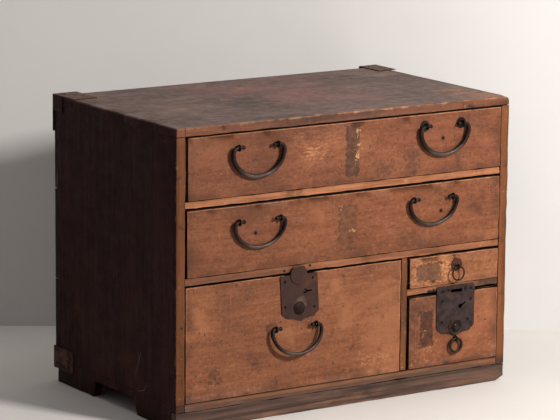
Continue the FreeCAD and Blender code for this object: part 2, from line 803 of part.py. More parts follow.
# Bosses: a domed stud on the deep plate, a disc with a knob on the strong one
outward = Vector(0, -1, 0)
deep_boss_seat = Vector(drawers["deep"]["middle"] + deep_boss_x, plate_front, deep_top + deep_boss_z)
save("deep_lock_boss", dome(deep_boss_seat, outward, deep_boss_radius, deep_boss_height))
disc_seat = Vector(strong_middle, plate_front, strong_top + strong_boss_z)
knob_seat = disc_seat + outward * strong_boss_thickness
boss_disc = round_bar(disc_seat, knob_seat, strong_boss_radius)
knob = dome(knob_seat, outward, strong_knob_radius, strong_knob_height)
flutes = []
for flute in range(strong_boss_flutes):
    turn = 2 * math.pi * flute / strong_boss_flutes
    rim = Vector(math.cos(turn), 0, math.sin(turn)) * strong_boss_radius
    flutes.append(round_bar(disc_seat + rim, knob_seat + rim, strong_flute_radius))
boss_disc = boss_disc.cut(Part.makeCompound(flutes))
save("strong_lock_boss", joined([boss_disc, knob]))

# Nails of the lock plates, as shares of half the width from the middle and of the height from the top
deep_nail_shares = ((-0.76, 0.12), (0.74, 0.1), (0.76, 0.72), (-0.8, 0.66))
strong_nail_shares = (
    (-0.68, 0.1), (-0.36, 0.09), (0.5, 0.09), (0.8, 0.1),
    (-0.72, 0.29), (0.8, 0.31), (-0.72, 0.7), (0.66, 0.7),
)


def plate_nails(x, width, top, point, skew, shares):
    seats = []
    for across_share, down_share in shares:
        z = top - down_share * (top - point)
        seat_x = x + across_share * width / 2 + down_share * skew
        seats.append((Vector(seat_x, plate_front, z), Vector(0, 1, 0)))
    return seats


lock_nails = {
    "deep": plate_nails(
        deep_middle, deep_plate_width, deep_plate_top_z, deep_point_z, deep_plate_skew, deep_nail_shares
    ),
    "strong": plate_nails(
        strong_middle, strong_plate_width, strong_plate_top_z, strong_point_z, 0, strong_nail_shares
    ),
}
plates = {"deep": deep_plate, "strong": strong_plate}
for owner, seats in lock_nails.items():
    solids = []
    holes = []
    for seat, inward in seats:
        if owner == "strong" and seat.z > strong_top - nail_head_radius:
            head = nail(seat, inward)
            solids.append(head.cut(block(-half_width, half_width, front, rear, 0, carcase_height)))
        else:
            solids.append(nail(seat, inward))
        holes.append(nail_hole(seat, inward))
    holes = Part.makeCompound(holes)
    plates[owner] = plates[owner].cut(holes)
    drawers[owner]["front"] = drawers[owner]["front"].cut(holes)
    save(f"{owner}_lock_nails", *solids)
    save(f"{owner}_lock_plate", plates[owner])

# Lock works: an iron case behind the front, with a bolt that rises into a mortise above it; the
# deep one has a post for a pipe key
lock_places = {
    "deep": (tab_middle, deep_top, bolt_travel_deep, lower_rail_under),
    "strong": (strong_middle, strong_top, bolt_travel_strong, shelf_under),
}
mortises = {}
for owner, (x, drawer_top, travel, ceiling) in lock_places.items():
    case_top = drawer_top - case_drop
    case_rear = shank_rear + case_depth
    case_foot = case_top - case_height
    case_x0, case_x1 = x - case_width / 2, x + case_width / 2
    shell = block(case_x0, case_x1, shank_rear, case_rear, case_foot, case_top)
    hollow = block(
        case_x0 + case_wall, case_x1 - case_wall, shank_rear, case_rear - case_wall,
        case_foot + case_wall, case_top - case_wall,
    )
    bolt_y = shank_rear + bolt_clearance
    bolt_top = drawer_top - bolt_rest_drop
    bolt_rear = bolt_y + bolt_thickness
    bolt = block(x - bolt_width / 2, x + bolt_width / 2, bolt_y, bolt_rear, bolt_top - bolt_tail, bolt_top)
    passage = block(
        x - bolt_width / 2 - bolt_clearance, x + bolt_width / 2 + bolt_clearance,
        shank_rear, bolt_rear + bolt_clearance, case_top - case_wall, case_top,
    )
    case = shell.cut(hollow).cut(passage)
    if owner == "deep":
        post_tip = Vector(key_x, plate_front + key_post_recess, key_z)
        case = case.fuse(round_bar(Vector(key_x, case_rear - case_wall, key_z), post_tip, key_post_radius))
    save(f"{owner}_lock_case", case)
    save(f"{owner}_lock_bolt", bolt)
    mortises[owner] = block(
        x - bolt_width / 2 - bolt_clearance, x + bolt_width / 2 + bolt_clearance,
        shank_rear, bolt_rear + bolt_clearance, ceiling, bolt_top + travel + bolt_clearance,
    )
    spring_z0 = case_foot + case_wall
    spring_z1 = case_top - case_wall
    spring_y = case_rear - case_wall
    middle_z = (spring_z0 + spring_z1) / 2
    outer_arc = Part.Arc(
        Vector(x, spring_y, spring_z0),
        Vector(x, spring_y - spring_bow, middle_z),
        Vector(x, spring_y, spring_z1),
    )
    inner_arc = Part.Arc(
        Vector(x, spring_y - spring_thickness, spring_z1),
        Vector(x, spring_y - spring_bow - spring_thickness, middle_z),
        Vector(x, spring_y - spring_thickness, spring_z0),
    )
    leaf = Part.Wire([
        outer_arc.toShape(),
        Part.LineSegment(outer_arc.EndPoint, inner_arc.StartPoint).toShape(),
        inner_arc.toShape(),
        Part.LineSegment(inner_arc.EndPoint, outer_arc.StartPoint).toShape(),
    ])
    spring = Part.Face(leaf).extrude(Vector(spring_width, 0, 0))
    spring.translate(Vector(-spring_width / 2, 0, 0))
    save(f"{owner}_lock_spring", spring)

save("lower_rail", lower_rail.cut(mortises["deep"]))
save("small_shelf", small_shelf.cut(mortises["strong"]))

for owner, pieces in drawers.items():
    save(f"{owner}_drawer_front", pieces["front"])
    save(f"{owner}_drawer_sides", *pieces["sides"])
    save(f"{owner}_drawer_back", pieces["back"])
    save(f"{owner}_drawer_bottom", pieces["bottom"])
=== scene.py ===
from math import cos, pi, radians, sin

import bpy
from mathutils import Matrix, Vector


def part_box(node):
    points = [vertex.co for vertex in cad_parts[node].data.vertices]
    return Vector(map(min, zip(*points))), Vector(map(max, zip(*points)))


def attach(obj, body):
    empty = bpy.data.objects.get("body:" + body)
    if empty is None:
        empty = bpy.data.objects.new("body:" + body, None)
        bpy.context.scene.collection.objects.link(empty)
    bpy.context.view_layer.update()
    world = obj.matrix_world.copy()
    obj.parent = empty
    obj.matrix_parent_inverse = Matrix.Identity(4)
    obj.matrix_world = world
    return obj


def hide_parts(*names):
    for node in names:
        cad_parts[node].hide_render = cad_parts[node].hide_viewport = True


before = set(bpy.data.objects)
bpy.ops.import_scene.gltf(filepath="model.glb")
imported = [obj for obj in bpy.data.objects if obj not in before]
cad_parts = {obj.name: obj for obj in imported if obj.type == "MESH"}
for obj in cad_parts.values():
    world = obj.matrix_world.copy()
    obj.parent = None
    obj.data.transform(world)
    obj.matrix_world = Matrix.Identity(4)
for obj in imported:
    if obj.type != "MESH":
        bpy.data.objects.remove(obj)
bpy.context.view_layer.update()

# The two sides are single wide boards of softwood under a near-black stain, rubbed reddish where
# the chest was carried and dragged. Their front edges were left in the colour of the drawers, and
# they are comb-jointed to the top board.
drawer_gap, housing_depth = 0.0024, 0.005
front_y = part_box("left_side")[0].y
left_x, right_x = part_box("left_side")[0].x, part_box("right_side")[1].x
top_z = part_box("top_board")[1].z
top_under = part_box("top_drawer_front")[1].z + drawer_gap
inner_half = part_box("upper_rail")[1].x - housing_depth
# How deep a finish reaches past a face: where it begins to show and where it is full.
edge_skin = (0.0022, 0.0009)
top_skin = (0.0035, 0.0006)
inner_skin = (0.0012, 0.0003)
gap_black = (0.006, 0.005, 0.004)


def whole(node, name, merge_flats=True):
    """A fresh mesh of one piece, its loose triangles merged and its flat faces made whole again."""
    piece = bpy.data.objects.new(name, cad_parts[node].data.copy())
    piece.data.materials.clear()
    bpy.context.scene.collection.objects.link(piece)
    bpy.ops.object.select_all(action="DESELECT")
    bpy.context.view_layer.objects.active = piece
    piece.select_set(True)
    bpy.ops.object.mode_set(mode="EDIT")
    bpy.ops.mesh.select_all(action="SELECT")
    bpy.ops.mesh.remove_doubles(threshold=0.00001)
    if merge_flats:
        bpy.ops.mesh.dissolve_limited(angle_limit=radians(0.5))
    bpy.ops.object.mode_set(mode="OBJECT")
    return piece


def ease_edges(piece, width, shortest=0.006, tight=None):
    """Takes the sharpness off every edge of a board, but not off its small holes and tight joints."""
    bpy.ops.object.mode_set(mode="EDIT")
    bpy.ops.mesh.select_mode(type="EDGE")
    bpy.ops.mesh.select_all(action="DESELECT")
    bpy.ops.mesh.edges_select_sharp(sharpness=radians(40))
    bpy.ops.object.mode_set(mode="OBJECT")
    points = piece.data.vertices
    for edge in piece.data.edges:
        start, end = (points[index].co for index in edge.vertices)
        if (start - end).length < shortest or (tight and tight((start + end) / 2)):
            edge.select = False
    bpy.ops.object.mode_set(mode="EDIT")
    bpy.ops.mesh.bevel(offset=width, segments=2, profile=0.6, clamp_overlap=True)
    bpy.ops.object.mode_set(mode="OBJECT")


def divide(piece, step):
    """Crosses a board with plane cuts, so that its edges can be worn unevenly."""
    corners = [vertex.co for vertex in piece.data.vertices]
    bpy.ops.object.mode_set(mode="EDIT")
    for axis in range(3):
        low = min(corner[axis] for corner in corners)
        high = max(corner[axis] for corner in corners)
        cuts = int((high - low) / step)
        across = Vector([float(axis == other) for other in range(3)])
        for cut in range(1, cuts):
            bpy.ops.mesh.select_all(action="SELECT")
            bpy.ops.mesh.bisect(plane_co=across * (low + (high - low) * cut / cuts), plane_no=across)
    bpy.ops.object.mode_set(mode="OBJECT")


def rub(piece, depth, grain, contrast=2.2, edges_only=True, tight=None):
    """Wears a piece down by a cloudy amount, on its edges or all over."""
    still_flat = 0.97
    normals = {}
    for face in piece.data.polygons:
        for index in face.vertices:
            normals.setdefault(index, []).append(face.normal)
    worn = piece.vertex_groups.new(name="worn")
    for index, around in normals.items():
        at_edge = min(around[0].dot(other) for other in around) < still_flat
        if (at_edge or not edges_only) and not (tight and tight(piece.data.vertices[index].co)):
            worn.add([index], 1.0, "REPLACE")
    clouds = bpy.data.textures.new(piece.name, "CLOUDS")
    clouds.noise_scale = grain
    clouds.noise_depth = 3
    clouds.contrast = contrast
    wear = piece.modifiers.new("wear", "DISPLACE")
    wear.texture = clouds
    wear.texture_coords = "LOCAL"
    wear.vertex_group = worn.name
    wear.strength = depth
    wear.mid_level = 1.0 if edges_only else 0.5
    bpy.ops.object.modifier_apply(modifier=wear.name)


class Finish:
    """A material on Object coordinates, laid on coat by coat as the real finish and its wear were."""

    def __init__(self, name):
        self.material = bpy.data.materials.new(name)
        self.material.use_nodes = True
        self.tree = self.material.node_tree
        self.place = self.add("ShaderNodeTexCoord").outputs["Object"]
        self.colour = self.rough = self.height = None

    def add(self, kind, settings=None, inputs=None):
        node = self.tree.nodes.new(kind)
        for name, value in (settings or {}).items():
            setattr(node, name, value)
        for name, value in (inputs or {}).items():
            self.set(node.inputs[name], value)
        return node

    def set(self, socket, value):
        if isinstance(value, bpy.types.NodeSocket):
            self.tree.links.new(value, socket)
        else:
            socket.default_value = value

    def noise(self, stretch, detail=4.0, rough=0.55, warp=0.0, shift=0.0, tilt=0.0):
        """Cloudy values from 0 to 1 whose patches are the inverse of stretch long, in metres."""
        if not hasattr(stretch, "__len__"):
            stretch = (stretch, stretch, stretch)
        spread = self.add("ShaderNodeMapping", None, {
            "Vector": self.place, "Scale": stretch, "Location": (shift, shift, shift),
            "Rotation": (0.0, tilt, 0.0),
        })
        return self.add("ShaderNodeTexNoise", None, {
            "Vector": spread.outputs["Vector"], "Scale": 1.0, "Detail": detail, "Roughness": rough,
            "Distortion": warp,
        }).outputs[0]

    def figure(self, axis, spacing, stretch, wave):
        """The growth rings of the board as bands across an axis."""
        bent = self.add("ShaderNodeMapping", None, {"Vector": self.place, "Scale": stretch})
        return self.add("ShaderNodeTexWave", {"bands_direction": axis, "wave_profile": "SAW"}, {
            "Vector": bent.outputs["Vector"], "Scale": 2 * pi / (20 * spacing), "Distortion": wave,
            "Detail": 3.0, "Detail Scale": 0.7, "Detail Roughness": 0.6,
        }).outputs["Fac"]

    def fade(self, value, start, end, low=0.0, high=1.0):
        """Turns smoothly from low to high as a value goes from start to end."""
        return self.add("ShaderNodeMapRange", {"interpolation_type": "SMOOTHSTEP"}, {
            "Value": value, "From Min": start, "From Max": end, "To Min": low, "To Max": high,
        }).outputs["Result"]

    def maths(self, operation, first, second=0.0):
        return self.add("ShaderNodeMath", {"operation": operation}, {0: first, 1: second}).outputs[0]

    def both(self, first, *others):
        """The product of shares: where all of them hold."""
        for other in others:
            first = self.maths("MULTIPLY", first, other)
        return first

    def plus(self, first, second):
        return self.maths("ADD", first, second)

    def minus(self, first, second):
        return self.maths("SUBTRACT", first, second)

    def far(self, value):
        """How far a value is from zero, either way."""
        return self.maths("ABSOLUTE", value)

    def axis(self, name):
        return self.add("ShaderNodeSeparateXYZ", None, {"Vector": self.place}).outputs[name]

    def coat(self, under, over, share):
        """One colour over another, where share is 1."""
        under, over = (
            shade if isinstance(shade, bpy.types.NodeSocket) else (*shade, 1.0) for shade in (under, over))
        return self.add("ShaderNodeMix", {"data_type": "RGBA"}, {0: share, 6: under, 7: over}).outputs[2]

    def lay(self, tint, share):
        """One more coat over the finish so far."""
        self.colour = self.coat(self.colour, tint, share)

    def outside(self, low, high, axes="XZ"):
        """How far a point lies outside a rectangle seen along the third axis; inside is negative."""
        reach = []
        for axis, start, end in zip(axes, low, high):
            off = self.far(self.minus(self.axis(axis), (start + end) / 2))
            reach.append(self.minus(off, (end - start) / 2))
        return self.maths("MAXIMUM", *reach)

    def patch(self, low, high, soft, ragged=0.0, axes="XZ", tatter=None):
        """A rectangular mark with soft, torn or cloudy borders."""
        reach = self.outside(low, high, axes)
        if ragged:
            torn = tatter or self.noise(150.0, 3.0, 0.6)
            reach = self.plus(reach, self.fade(torn, 0.25, 0.75, -ragged, ragged))
        return self.fade(reach, soft / 2, -soft / 2)

    def spot(self, x, z, radius, soft):
        """A round mark seen from the front."""
        offset = self.add("ShaderNodeVectorMath", {"operation": "SUBTRACT"}, {0: self.place, 1: (x, 0, z)})
        flat = self.add("ShaderNodeVectorMath", {"operation": "MULTIPLY"}, {0: offset.outputs[0], 1: (1, 0, 1)})
        length = self.add("ShaderNodeVectorMath", {"operation": "LENGTH"}, {0: flat.outputs[0]})
        return self.fade(length.outputs["Value"], radius + soft, radius)

    def done(self, depth, specular, metallic=0.0):
        """Joins colour, roughness and a relief of the given depth to the shader."""
        bump = self.add("ShaderNodeBump", None, {"Height": self.height, "Strength": 1.0, "Distance": depth})
        shader = self.tree.nodes["Principled BSDF"]
        for name, value in {
            "Base Color": self.colour, "Roughness": self.rough, "Normal": bump.outputs["Normal"],
            "Specular IOR Level": specular, "Metallic": metallic,
        }.items():
            self.set(shader.inputs[name], value)
        return self.material


def on_top(wood, low=0.0, high=1.0):
    """The upper face of the chest, a little way over its arris."""
    start, end = top_skin
    return wood.fade(wood.axis("Z"), top_z - start, top_z - end, low, high)


def on_edge(wood):
    """The front edge of a board."""
    start, end = edge_skin
    return wood.fade(wood.axis("Y"), front_y + start, front_y + end)


def carcase_wood(name, along):
    """Black-brown stain on softwood, grain along x or z: sheen painted on top, brown at front, bare inside."""
    wood = Finish(name)
    level = along == "X"

    def with_grain(length, width, depth):
        return (length, width, depth) if level else (width, depth, length)

    streaks = wood.noise(with_grain(5.0, 110.0, 90.0), 7.0, 0.64, 0.4)
    fibres = wood.noise(with_grain(30.0, 700.0, 600.0), 2.0, 0.5)
    smears = wood.noise(with_grain(9.0, 85.0, 60.0), 6.0, 0.68, 0.3, 3.0)
    grain = wood.noise(with_grain(2.5, 150.0, 90.0), 6.0, 0.7, 0.3, 2.0)
    clouds = wood.noise(8.0, 6.0, 0.64, 0.5)
    dust = wood.noise(55.0, 5.0, 0.66, 0.2, 3.0)
    flecks = wood.noise(150.0, 2.0, 0.5, 0.0, 8.0)

    black, brown_black = (0.0165, 0.0052, 0.0050), (0.0390, 0.0122, 0.0106)
    rubbed_red, fleck_orange = (0.082, 0.025, 0.0135), (0.20, 0.085, 0.045)
    low_down = wood.fade(wood.axis("Z"), 0.34, 0.06, 0.2, 1.0)
    wood.colour = wood.coat(black, brown_black, wood.fade(streaks, 0.35, 0.72))
    wood.lay(rubbed_red, wood.both(wood.fade(clouds, 0.46, 0.70), low_down, wood.fade(dust, 0.32, 0.66)))
    wood.lay(fleck_orange, wood.fade(flecks, 0.73, 0.79, 0.0, 0.5))

    # Painted sheen and light: the top face is painted a lighter grey-brown than the stain of the sides.
    dull_brown, grey_brown = (0.070, 0.037, 0.030), (0.122, 0.069, 0.056)
    painted_top_sheen = wood.coat(dull_brown, grey_brown, wood.fade(streaks, 0.30, 0.72))
    for tint, share in (
            ((0.205, 0.116, 0.092), wood.fade(clouds, 0.44, 0.70, 0.0, 0.75)),
            ((0.034, 0.020, 0.015), wood.fade(smears, 0.51, 0.66, 0.0, 0.8)),
            ((0.034, 0.019, 0.015), wood.fade(grain, 0.52, 0.66, 0.0, 0.6)),
            ((0.200, 0.112, 0.090), wood.fade(grain, 0.46, 0.34, 0.0, 0.5))):
        painted_top_sheen = wood.coat(painted_top_sheen, tint, share)
    wood.lay(painted_top_sheen, on_top(wood))

    bare = wood.coat((0.155, 0.092, 0.052), (0.270, 0.170, 0.100), wood.fade(streaks, 0.3, 0.7))
    start, end = inner_skin
    inside = wood.fade(wood.far(wood.axis("X")), inner_half + start, inner_half + end)
    if level:
        inside = wood.both(inside, wood.fade(wood.axis("Z"), top_under + start, top_under + end))
    wood.lay(bare, inside)

    if level:
        edge_light, edge_dark = (0.178, 0.068, 0.037), (0.070, 0.030, 0.019)
    else:
        edge_light, edge_dark = (0.164, 0.058, 0.0235), (0.079, 0.0290, 0.0125)
    edge = wood.coat(edge_light, edge_dark, wood.fade(streaks, 0.4, 0.7))
    edge = wood.coat(edge, (0.030, 0.018, 0.014), wood.fade(dust, 0.56, 0.7, 0.0, 0.75))
    edge = wood.coat(edge, (0.34, 0.15, 0.075), wood.fade(flecks, 0.64, 0.72, 0.0, 0.5))
    worn_back = wood.fade(wood.noise(70.0, 4.0, 0.6), 0.4, 0.8, 0.0, 0.004)
    past_edge = wood.minus(wood.minus(wood.axis("Y"), front_y), worn_back)
    wood.lay(edge, wood.fade(past_edge, *edge_skin))
    wood.rough = wood.fade(dust, 0.3, 0.7, 0.45, 0.66)
    wood.height = wood.plus(wood.both(fibres, 0.5), streaks)
    return wood


def lay_board(node, body, slot, material, edge=0.0008, wear=0.0012, step=0.014, grain=0.02, tight=None):
    """One wooden piece, its edges eased and then rubbed away unevenly."""
    board = whole(node, f"{node}_wood")
    ease_edges(board, edge, tight=tight)
    divide(board, step)
    if wear:
        rub(board, wear, grain, tight=tight)
    bpy.ops.object.shade_smooth_by_angle(angle=radians(35))
    board.data.materials.append(material)
    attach(board, body)
    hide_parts(node)


def in_comb(point):
    """Whether a point lies in the comb joints of sides and top, which stay tight."""
    margin, behind_edge = 0.002, 0.004
    at_corner = point.z > top_under - margin and abs(point.x) > inner_half - margin
    return at_corner and point.y > front_y + behind_edge


def scratch(wood, start, end, share, tint=(0.17, 0.080, 0.045), width=0.0011, core=0.0005, tail=0.001):
    """A thin scored line on a side, its ends given as depth behind the front and height."""
    begin = Vector(start)
    along = Vector(end) - begin
    length = along.length
    along /= length
    from_y = wood.minus(wood.axis("Y"), front_y + begin.x)
    from_z = wood.minus(wood.axis("Z"), begin.y)
    run = wood.plus(wood.both(from_y, along.x), wood.both(from_z, along.y))
    aside = wood.far(wood.minus(wood.both(from_y, along.y), wood.both(from_z, along.x)))
    ends = wood.both(wood.fade(run, -tail, tail), wood.fade(run, length + tail, length - tail))
    wood.lay(tint, wood.both(wood.fade(aside, width, core), ends, share))


side_wood = carcase_wood("black_side_wood", "Z")
notch_top = 0.038
notch_line = side_wood.fade(side_wood.far(side_wood.minus(side_wood.axis("Z"), notch_top)), 0.0016, 0.0004)
broken = side_wood.fade(side_wood.noise(30.0, 3.0), 0.4, 0.6, 0.0, 0.7)
side_wood.lay((0.005, 0.004, 0.004), side_wood.both(notch_line, broken))
on_left = side_wood.fade(side_wood.axis("X"), 0.0, left_x, 0.0, 0.6)
for start, end in (
        ((0.1014, 0.1011), (0.1160, 0.0647)), ((0.1085, 0.0990), (0.1045, 0.0820)),
        ((0.0862, 0.0562), (0.0905, 0.0440)), ((0.0905, 0.0440), (0.1096, 0.0385))):
    scratch(side_wood, start, end, on_left)
nail_hole = side_wood.spot(x=-0.294, z=0.156, radius=0.0014, soft=0.0008)
side_wood.lay(gap_black, nail_hole)
soiled_brown, faded_orange, kicked_grey = (0.060, 0.023, 0.010), (0.270, 0.100, 0.042), (0.046, 0.027, 0.021)
edge_face = on_edge(side_wood)
for tint, axis, start, end, share in (
        (soiled_brown, "X", 0.0, left_x, 0.3), (faded_orange, "X", 0.0, right_x, 0.2),
        (kicked_grey, "Z", 0.048, 0.032, 0.8)):
    side_wood.lay(tint, side_wood.both(edge_face, side_wood.fade(side_wood.axis(axis), start, end, 0.0, share)))
side_material = side_wood.done(depth=0.0006, specular=0.07)
for side in ("left_side", "right_side"):
    lay_board(side, "carcase", "carcase_wood", side_material, tight=in_comb)

# The top is one board of the same stained softwood. Its face is painted a lighter grey-brown, with a broad
# reddish patch in the middle, as painted sheen and light. It is scuffed in patches, with its stain worn off
# to bare orange wood along the front edge and at the right corner.
top_wood = carcase_wood("sheen_painted_top_wood", "X")


def top_patch(x_span, depth_span, soft, ragged, tatter=None):
    """A mark on the top, given by its x and its depth behind the front."""
    low, high = zip(x_span, (front_y + depth for depth in depth_span))
    return top_wood.patch(low, high, soft, ragged, "XY", tatter)


bare_front = top_wood.both(
    top_patch((-0.06, 0.14), (0.0005, 0.007), soft=0.006, ragged=0.006),
    top_wood.fade(top_wood.noise(55.0, 4.0), 0.42, 0.62, 0.0, 0.7),
    top_wood.fade(top_wood.axis("Z"), top_z - 0.004, top_z - 0.001),
)
top_wood.lay((0.30, 0.140, 0.068), bare_front)
bare_orange, painted_red_sheen, dark_olive = (0.26, 0.110, 0.052), (0.175, 0.066, 0.056), (0.040, 0.025, 0.015)
corner_cloud = top_wood.noise((40.0, 90.0, 60.0), 5.0, 0.65, shift=5.0)
red_cloud = top_wood.noise((9.0, 45.0, 30.0), 5.0, 0.62, shift=7.0)
olive_cloud = top_wood.noise((12.0, 40.0, 30.0), 5.0, 0.62, shift=6.0)
# Bare orange wear at the right corner, a broad reddish patch of painted sheen in the middle, and a dark olive
# patch.
for tint, x_span, depth_span, soft, shares in (
        (bare_orange, (0.238, 0.330), (-0.02, 0.100), 0.06, (corner_cloud, 0.36, 0.60, 0.1, 0.95)),
        (painted_red_sheen, (-0.09, 0.11), (0.10, 0.32), 0.14, (red_cloud, 0.38, 0.62, 0.15, 0.95)),
        (dark_olive, (-0.125, -0.045), (0.065, 0.200), 0.07, (olive_cloud, 0.32, 0.58, 0.25, 0.85))):
    worn = top_patch(x_span, depth_span, soft, ragged=0.03)
    top_wood.lay(tint, top_wood.both(worn, top_wood.fade(*shares), on_top(top_wood)))
scuff_length, scuff_width, scuff_orange = 0.016, 0.010, (0.36, 0.150, 0.060)
for x, depth, share in (
        (-0.0155, 0.273, 0.75), (-0.099, 0.184, 0.45), (-0.136, 0.205, 0.35), (0.110, 0.076, 0.35)):
    x_span = (x - scuff_length / 2, x + scuff_length / 2)
    depth_span = (depth - scuff_width / 2, depth + scuff_width / 2)
    scuff = top_patch(x_span, depth_span, soft=0.006, ragged=0.006)
    top_wood.lay(scuff_orange, top_wood.both(scuff, on_top(top_wood, 0.0, share)))
rear_chip = top_patch((-0.037, -0.025), (0.334, 0.341), soft=0.004, ragged=0.004)
top_wood.lay((0.015, 0.010, 0.008), rear_chip)
pale_left = top_wood.fade(top_wood.axis("X"), left_x + 0.02, left_x + 0.004, 0.0, 0.35)
top_wood.lay((0.20, 0.15, 0.12), top_wood.both(pale_left, on_top(top_wood)))
handled = top_wood.both(
    top_wood.patch((-0.20, top_under - 0.01), (0.17, top_z - 0.002), soft=0.06, ragged=0.02), on_edge(top_wood),
    top_wood.fade(top_wood.noise((14.0, 30.0, 70.0), 5.0, 0.66, shift=4.0), 0.36, 0.60, 0.15, 0.75),
)
top_wood.lay((0.054, 0.034, 0.030), handled)
chips = top_wood.noise(52.0, 5.0, 0.7, shift=9.0)
arris = top_wood.both(
    top_patch((left_x, right_x), (-0.002, 0.0018), soft=0.0012, ragged=0.002, tatter=chips),
    top_wood.patch((left_x, top_z - 0.0024), (right_x, top_z), soft=0.0008, ragged=0.0016, tatter=chips),
    top_wood.fade(chips, 0.58, 0.40, 0.1, 1.0), top_wood.fade(top_wood.axis("X"), -0.22, 0.02, 0.3, 0.8),
)
top_wood.lay((0.38, 0.19, 0.10), arris)
crack_half = 0.0006
crack = top_wood.patch(
    (-inner_half - crack_half, top_under), (-inner_half + crack_half, top_z), soft=0.0005, ragged=0.0004)
top_wood.lay(gap_black, top_wood.both(crack, top_wood.fade(top_wood.axis("Y"), front_y + 0.004, front_y + 0.002)))
top_material = top_wood.done(depth=0.0004, specular=on_top(top_wood, 0.1, 0.22))
lay_board("top_board", "carcase", "carcase_wood", top_material, edge=0.0009, wear=0.0014, tight=in_comb)

# The front plinth is a thick dark strip under the drawers. It takes the kicks, so its finish is
# scratched through to brown wood in long level streaks near the floor.
plinth = Finish("kicked_plinth_wood")
streaks = plinth.noise((6.0, 80.0, 150.0), 6.0, 0.62, 0.4)
fibres = plinth.noise((30.0, 400.0, 900.0), 2.0)
clouds = plinth.noise((9.0, 20.0, 26.0), 5.0, 0.6)
plinth.colour = plinth.coat((0.042, 0.024, 0.0188), (0.117, 0.066, 0.048), plinth.fade(streaks, 0.32, 0.7))
near_floor = plinth.fade(plinth.axis("Z"), 0.022, 0.006, 0.15, 1.0)
scraped = plinth.both(plinth.fade(streaks, 0.46, 0.66), near_floor, plinth.fade(clouds, 0.4, 0.62))
plinth.lay((0.20, 0.095, 0.052), scraped)
plinth.lay((0.016, 0.012, 0.011), plinth.fade(clouds, 0.58, 0.75, 0.0, 0.6))
plinth.rough = plinth.fade(clouds, 0.3, 0.7, 0.5, 0.7)
plinth.height = plinth.plus(streaks, plinth.both(fibres, 0.4))
plinth_material = plinth.done(depth=0.0009, specular=0.2)
lay_board("front_plinth", "carcase", "plinth_wood", plinth_material, edge=0.0008, wear=0.0010, step=0.01)

# The rails, the divider, the small shelf and the bottom board are plain strips housed in the sides. Only
# their front edges were coloured, in the orange-brown of the drawers, and they are rubbed pale there.
strip_finish = dict(depth=0.0006, specular=0.15)
strip_wear = dict(edge=0.0007, wear=0.0012, step=0.012)
painted_gap_shade, nail_and_shade_black = (0.020, 0.011, 0.007), (0.006, 0.004, 0.003)


def strip_wood(name, along, light, dark):
    """Stain and wear of a strip with its grain along x or z, painted shade in the gaps, bare further in."""
    wood = Finish(name)
    stretch = (9.0, 70.0, 170.0) if along == "X" else (170.0, 70.0, 9.0)
    streaks = wood.noise(stretch, 6.0, 0.6, 0.3)
    fibres = wood.noise([6 * value for value in stretch], 2.0)
    clouds = wood.noise(22.0, 5.0, 0.62)
    nicks = wood.noise(120.0, 3.0, 0.6, shift=2.0)
    wood.colour = wood.coat(dark, light, wood.fade(streaks, 0.3, 0.68))
    wood.lay([0.42 * value for value in dark], wood.fade(clouds, 0.55, 0.75, 0.0, 0.75))
    wood.lay((0.50, 0.27, 0.13), wood.fade(nicks, 0.66, 0.74, 0.0, 0.7))
    past_edge = wood.minus(wood.axis("Y"), front_y)
    # Painted shade just behind the front edge, where the strip lies in a drawer gap.
    wood.lay(painted_gap_shade, wood.fade(past_edge, 0.0014, 0.0036, 0.0, 0.92))
    bare = wood.coat((0.14, 0.085, 0.05), (0.23, 0.15, 0.09), streaks)
    wood.lay(bare, wood.fade(past_edge, 0.010, 0.03))
    wood.rough = wood.fade(clouds, 0.3, 0.7, 0.45, 0.66)
    wood.height = wood.plus(streaks, wood.both(fibres, 0.4))
    return wood


bolt_boxes = [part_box(bolt) for bolt in ("deep_lock_bolt", "strong_lock_bolt")]


def in_mortise(point):
    """Whether a point lies round the hole that a lock bolt rises into, which stays tight."""
    margin = 0.004
    return any(
        all(low[axis] - margin < point[axis] < high[axis] + margin for axis in range(2))
        for low, high in bolt_boxes)


upper_wood = strip_wood("bright_rail_wood", "X", (0.388, 0.154, 0.069), (0.188, 0.070, 0.032))
lay_board("upper_rail", "carcase", "rail_wood", upper_wood.done(**strip_finish), **strip_wear)

rail_wood = strip_wood("rubbed_rail_wood", "X", (0.308, 0.120, 0.055), (0.139, 0.050, 0.024))
rail_wood.lay((0.085, 0.034, 0.018), rail_wood.fade(rail_wood.axis("X"), 0.02, -0.16, 0.0, 0.6))
for nail_x, nail_z in ((-0.113, 0.222), (-0.097, 0.2235), (-0.067, 0.2255)):
    rail_wood.lay(nail_and_shade_black, rail_wood.spot(nail_x, nail_z, radius=0.0017, soft=0.0010))
lay_board("lower_rail", "carcase", "rail_wood", rail_wood.done(**strip_finish), **strip_wear, tight=in_mortise)

bottom_wood = strip_wood("scuffed_bottom_wood", "X", (0.255, 0.100, 0.044), (0.110, 0.041, 0.019))
bottom_low, bottom_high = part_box("bottom_board")
wear_slope, wear_wander = 0.046, 0.003
wander = bottom_wood.fade(
    bottom_wood.noise((30.0, 60.0, 90.0), 4.0, 0.6), 0.3, 0.7, -wear_wander, wear_wander)
wear_line = bottom_wood.plus(bottom_wood.axis("Z"), bottom_wood.both(bottom_wood.axis("X"), wear_slope))
wear_line = bottom_wood.minus(bottom_wood.plus(wear_line, wander), bottom_low.z + wear_slope * bottom_high.x)
bottom_wood.lay((0.088, 0.050, 0.037), bottom_wood.fade(wear_line, 0.0060, 0.0020, 0.0, 0.85))
bright_line = bottom_wood.both(
    bottom_wood.fade(bottom_wood.axis("Z"), bottom_high.z - 0.0085, bottom_high.z - 0.0045),
    bottom_wood.fade(bottom_wood.noise((14.0, 60.0, 120.0), 4.0, 0.6, shift=3.0), 0.34, 0.6, 0.1, 0.9),
)
bottom_wood.lay((0.215, 0.092, 0.043), bright_line)
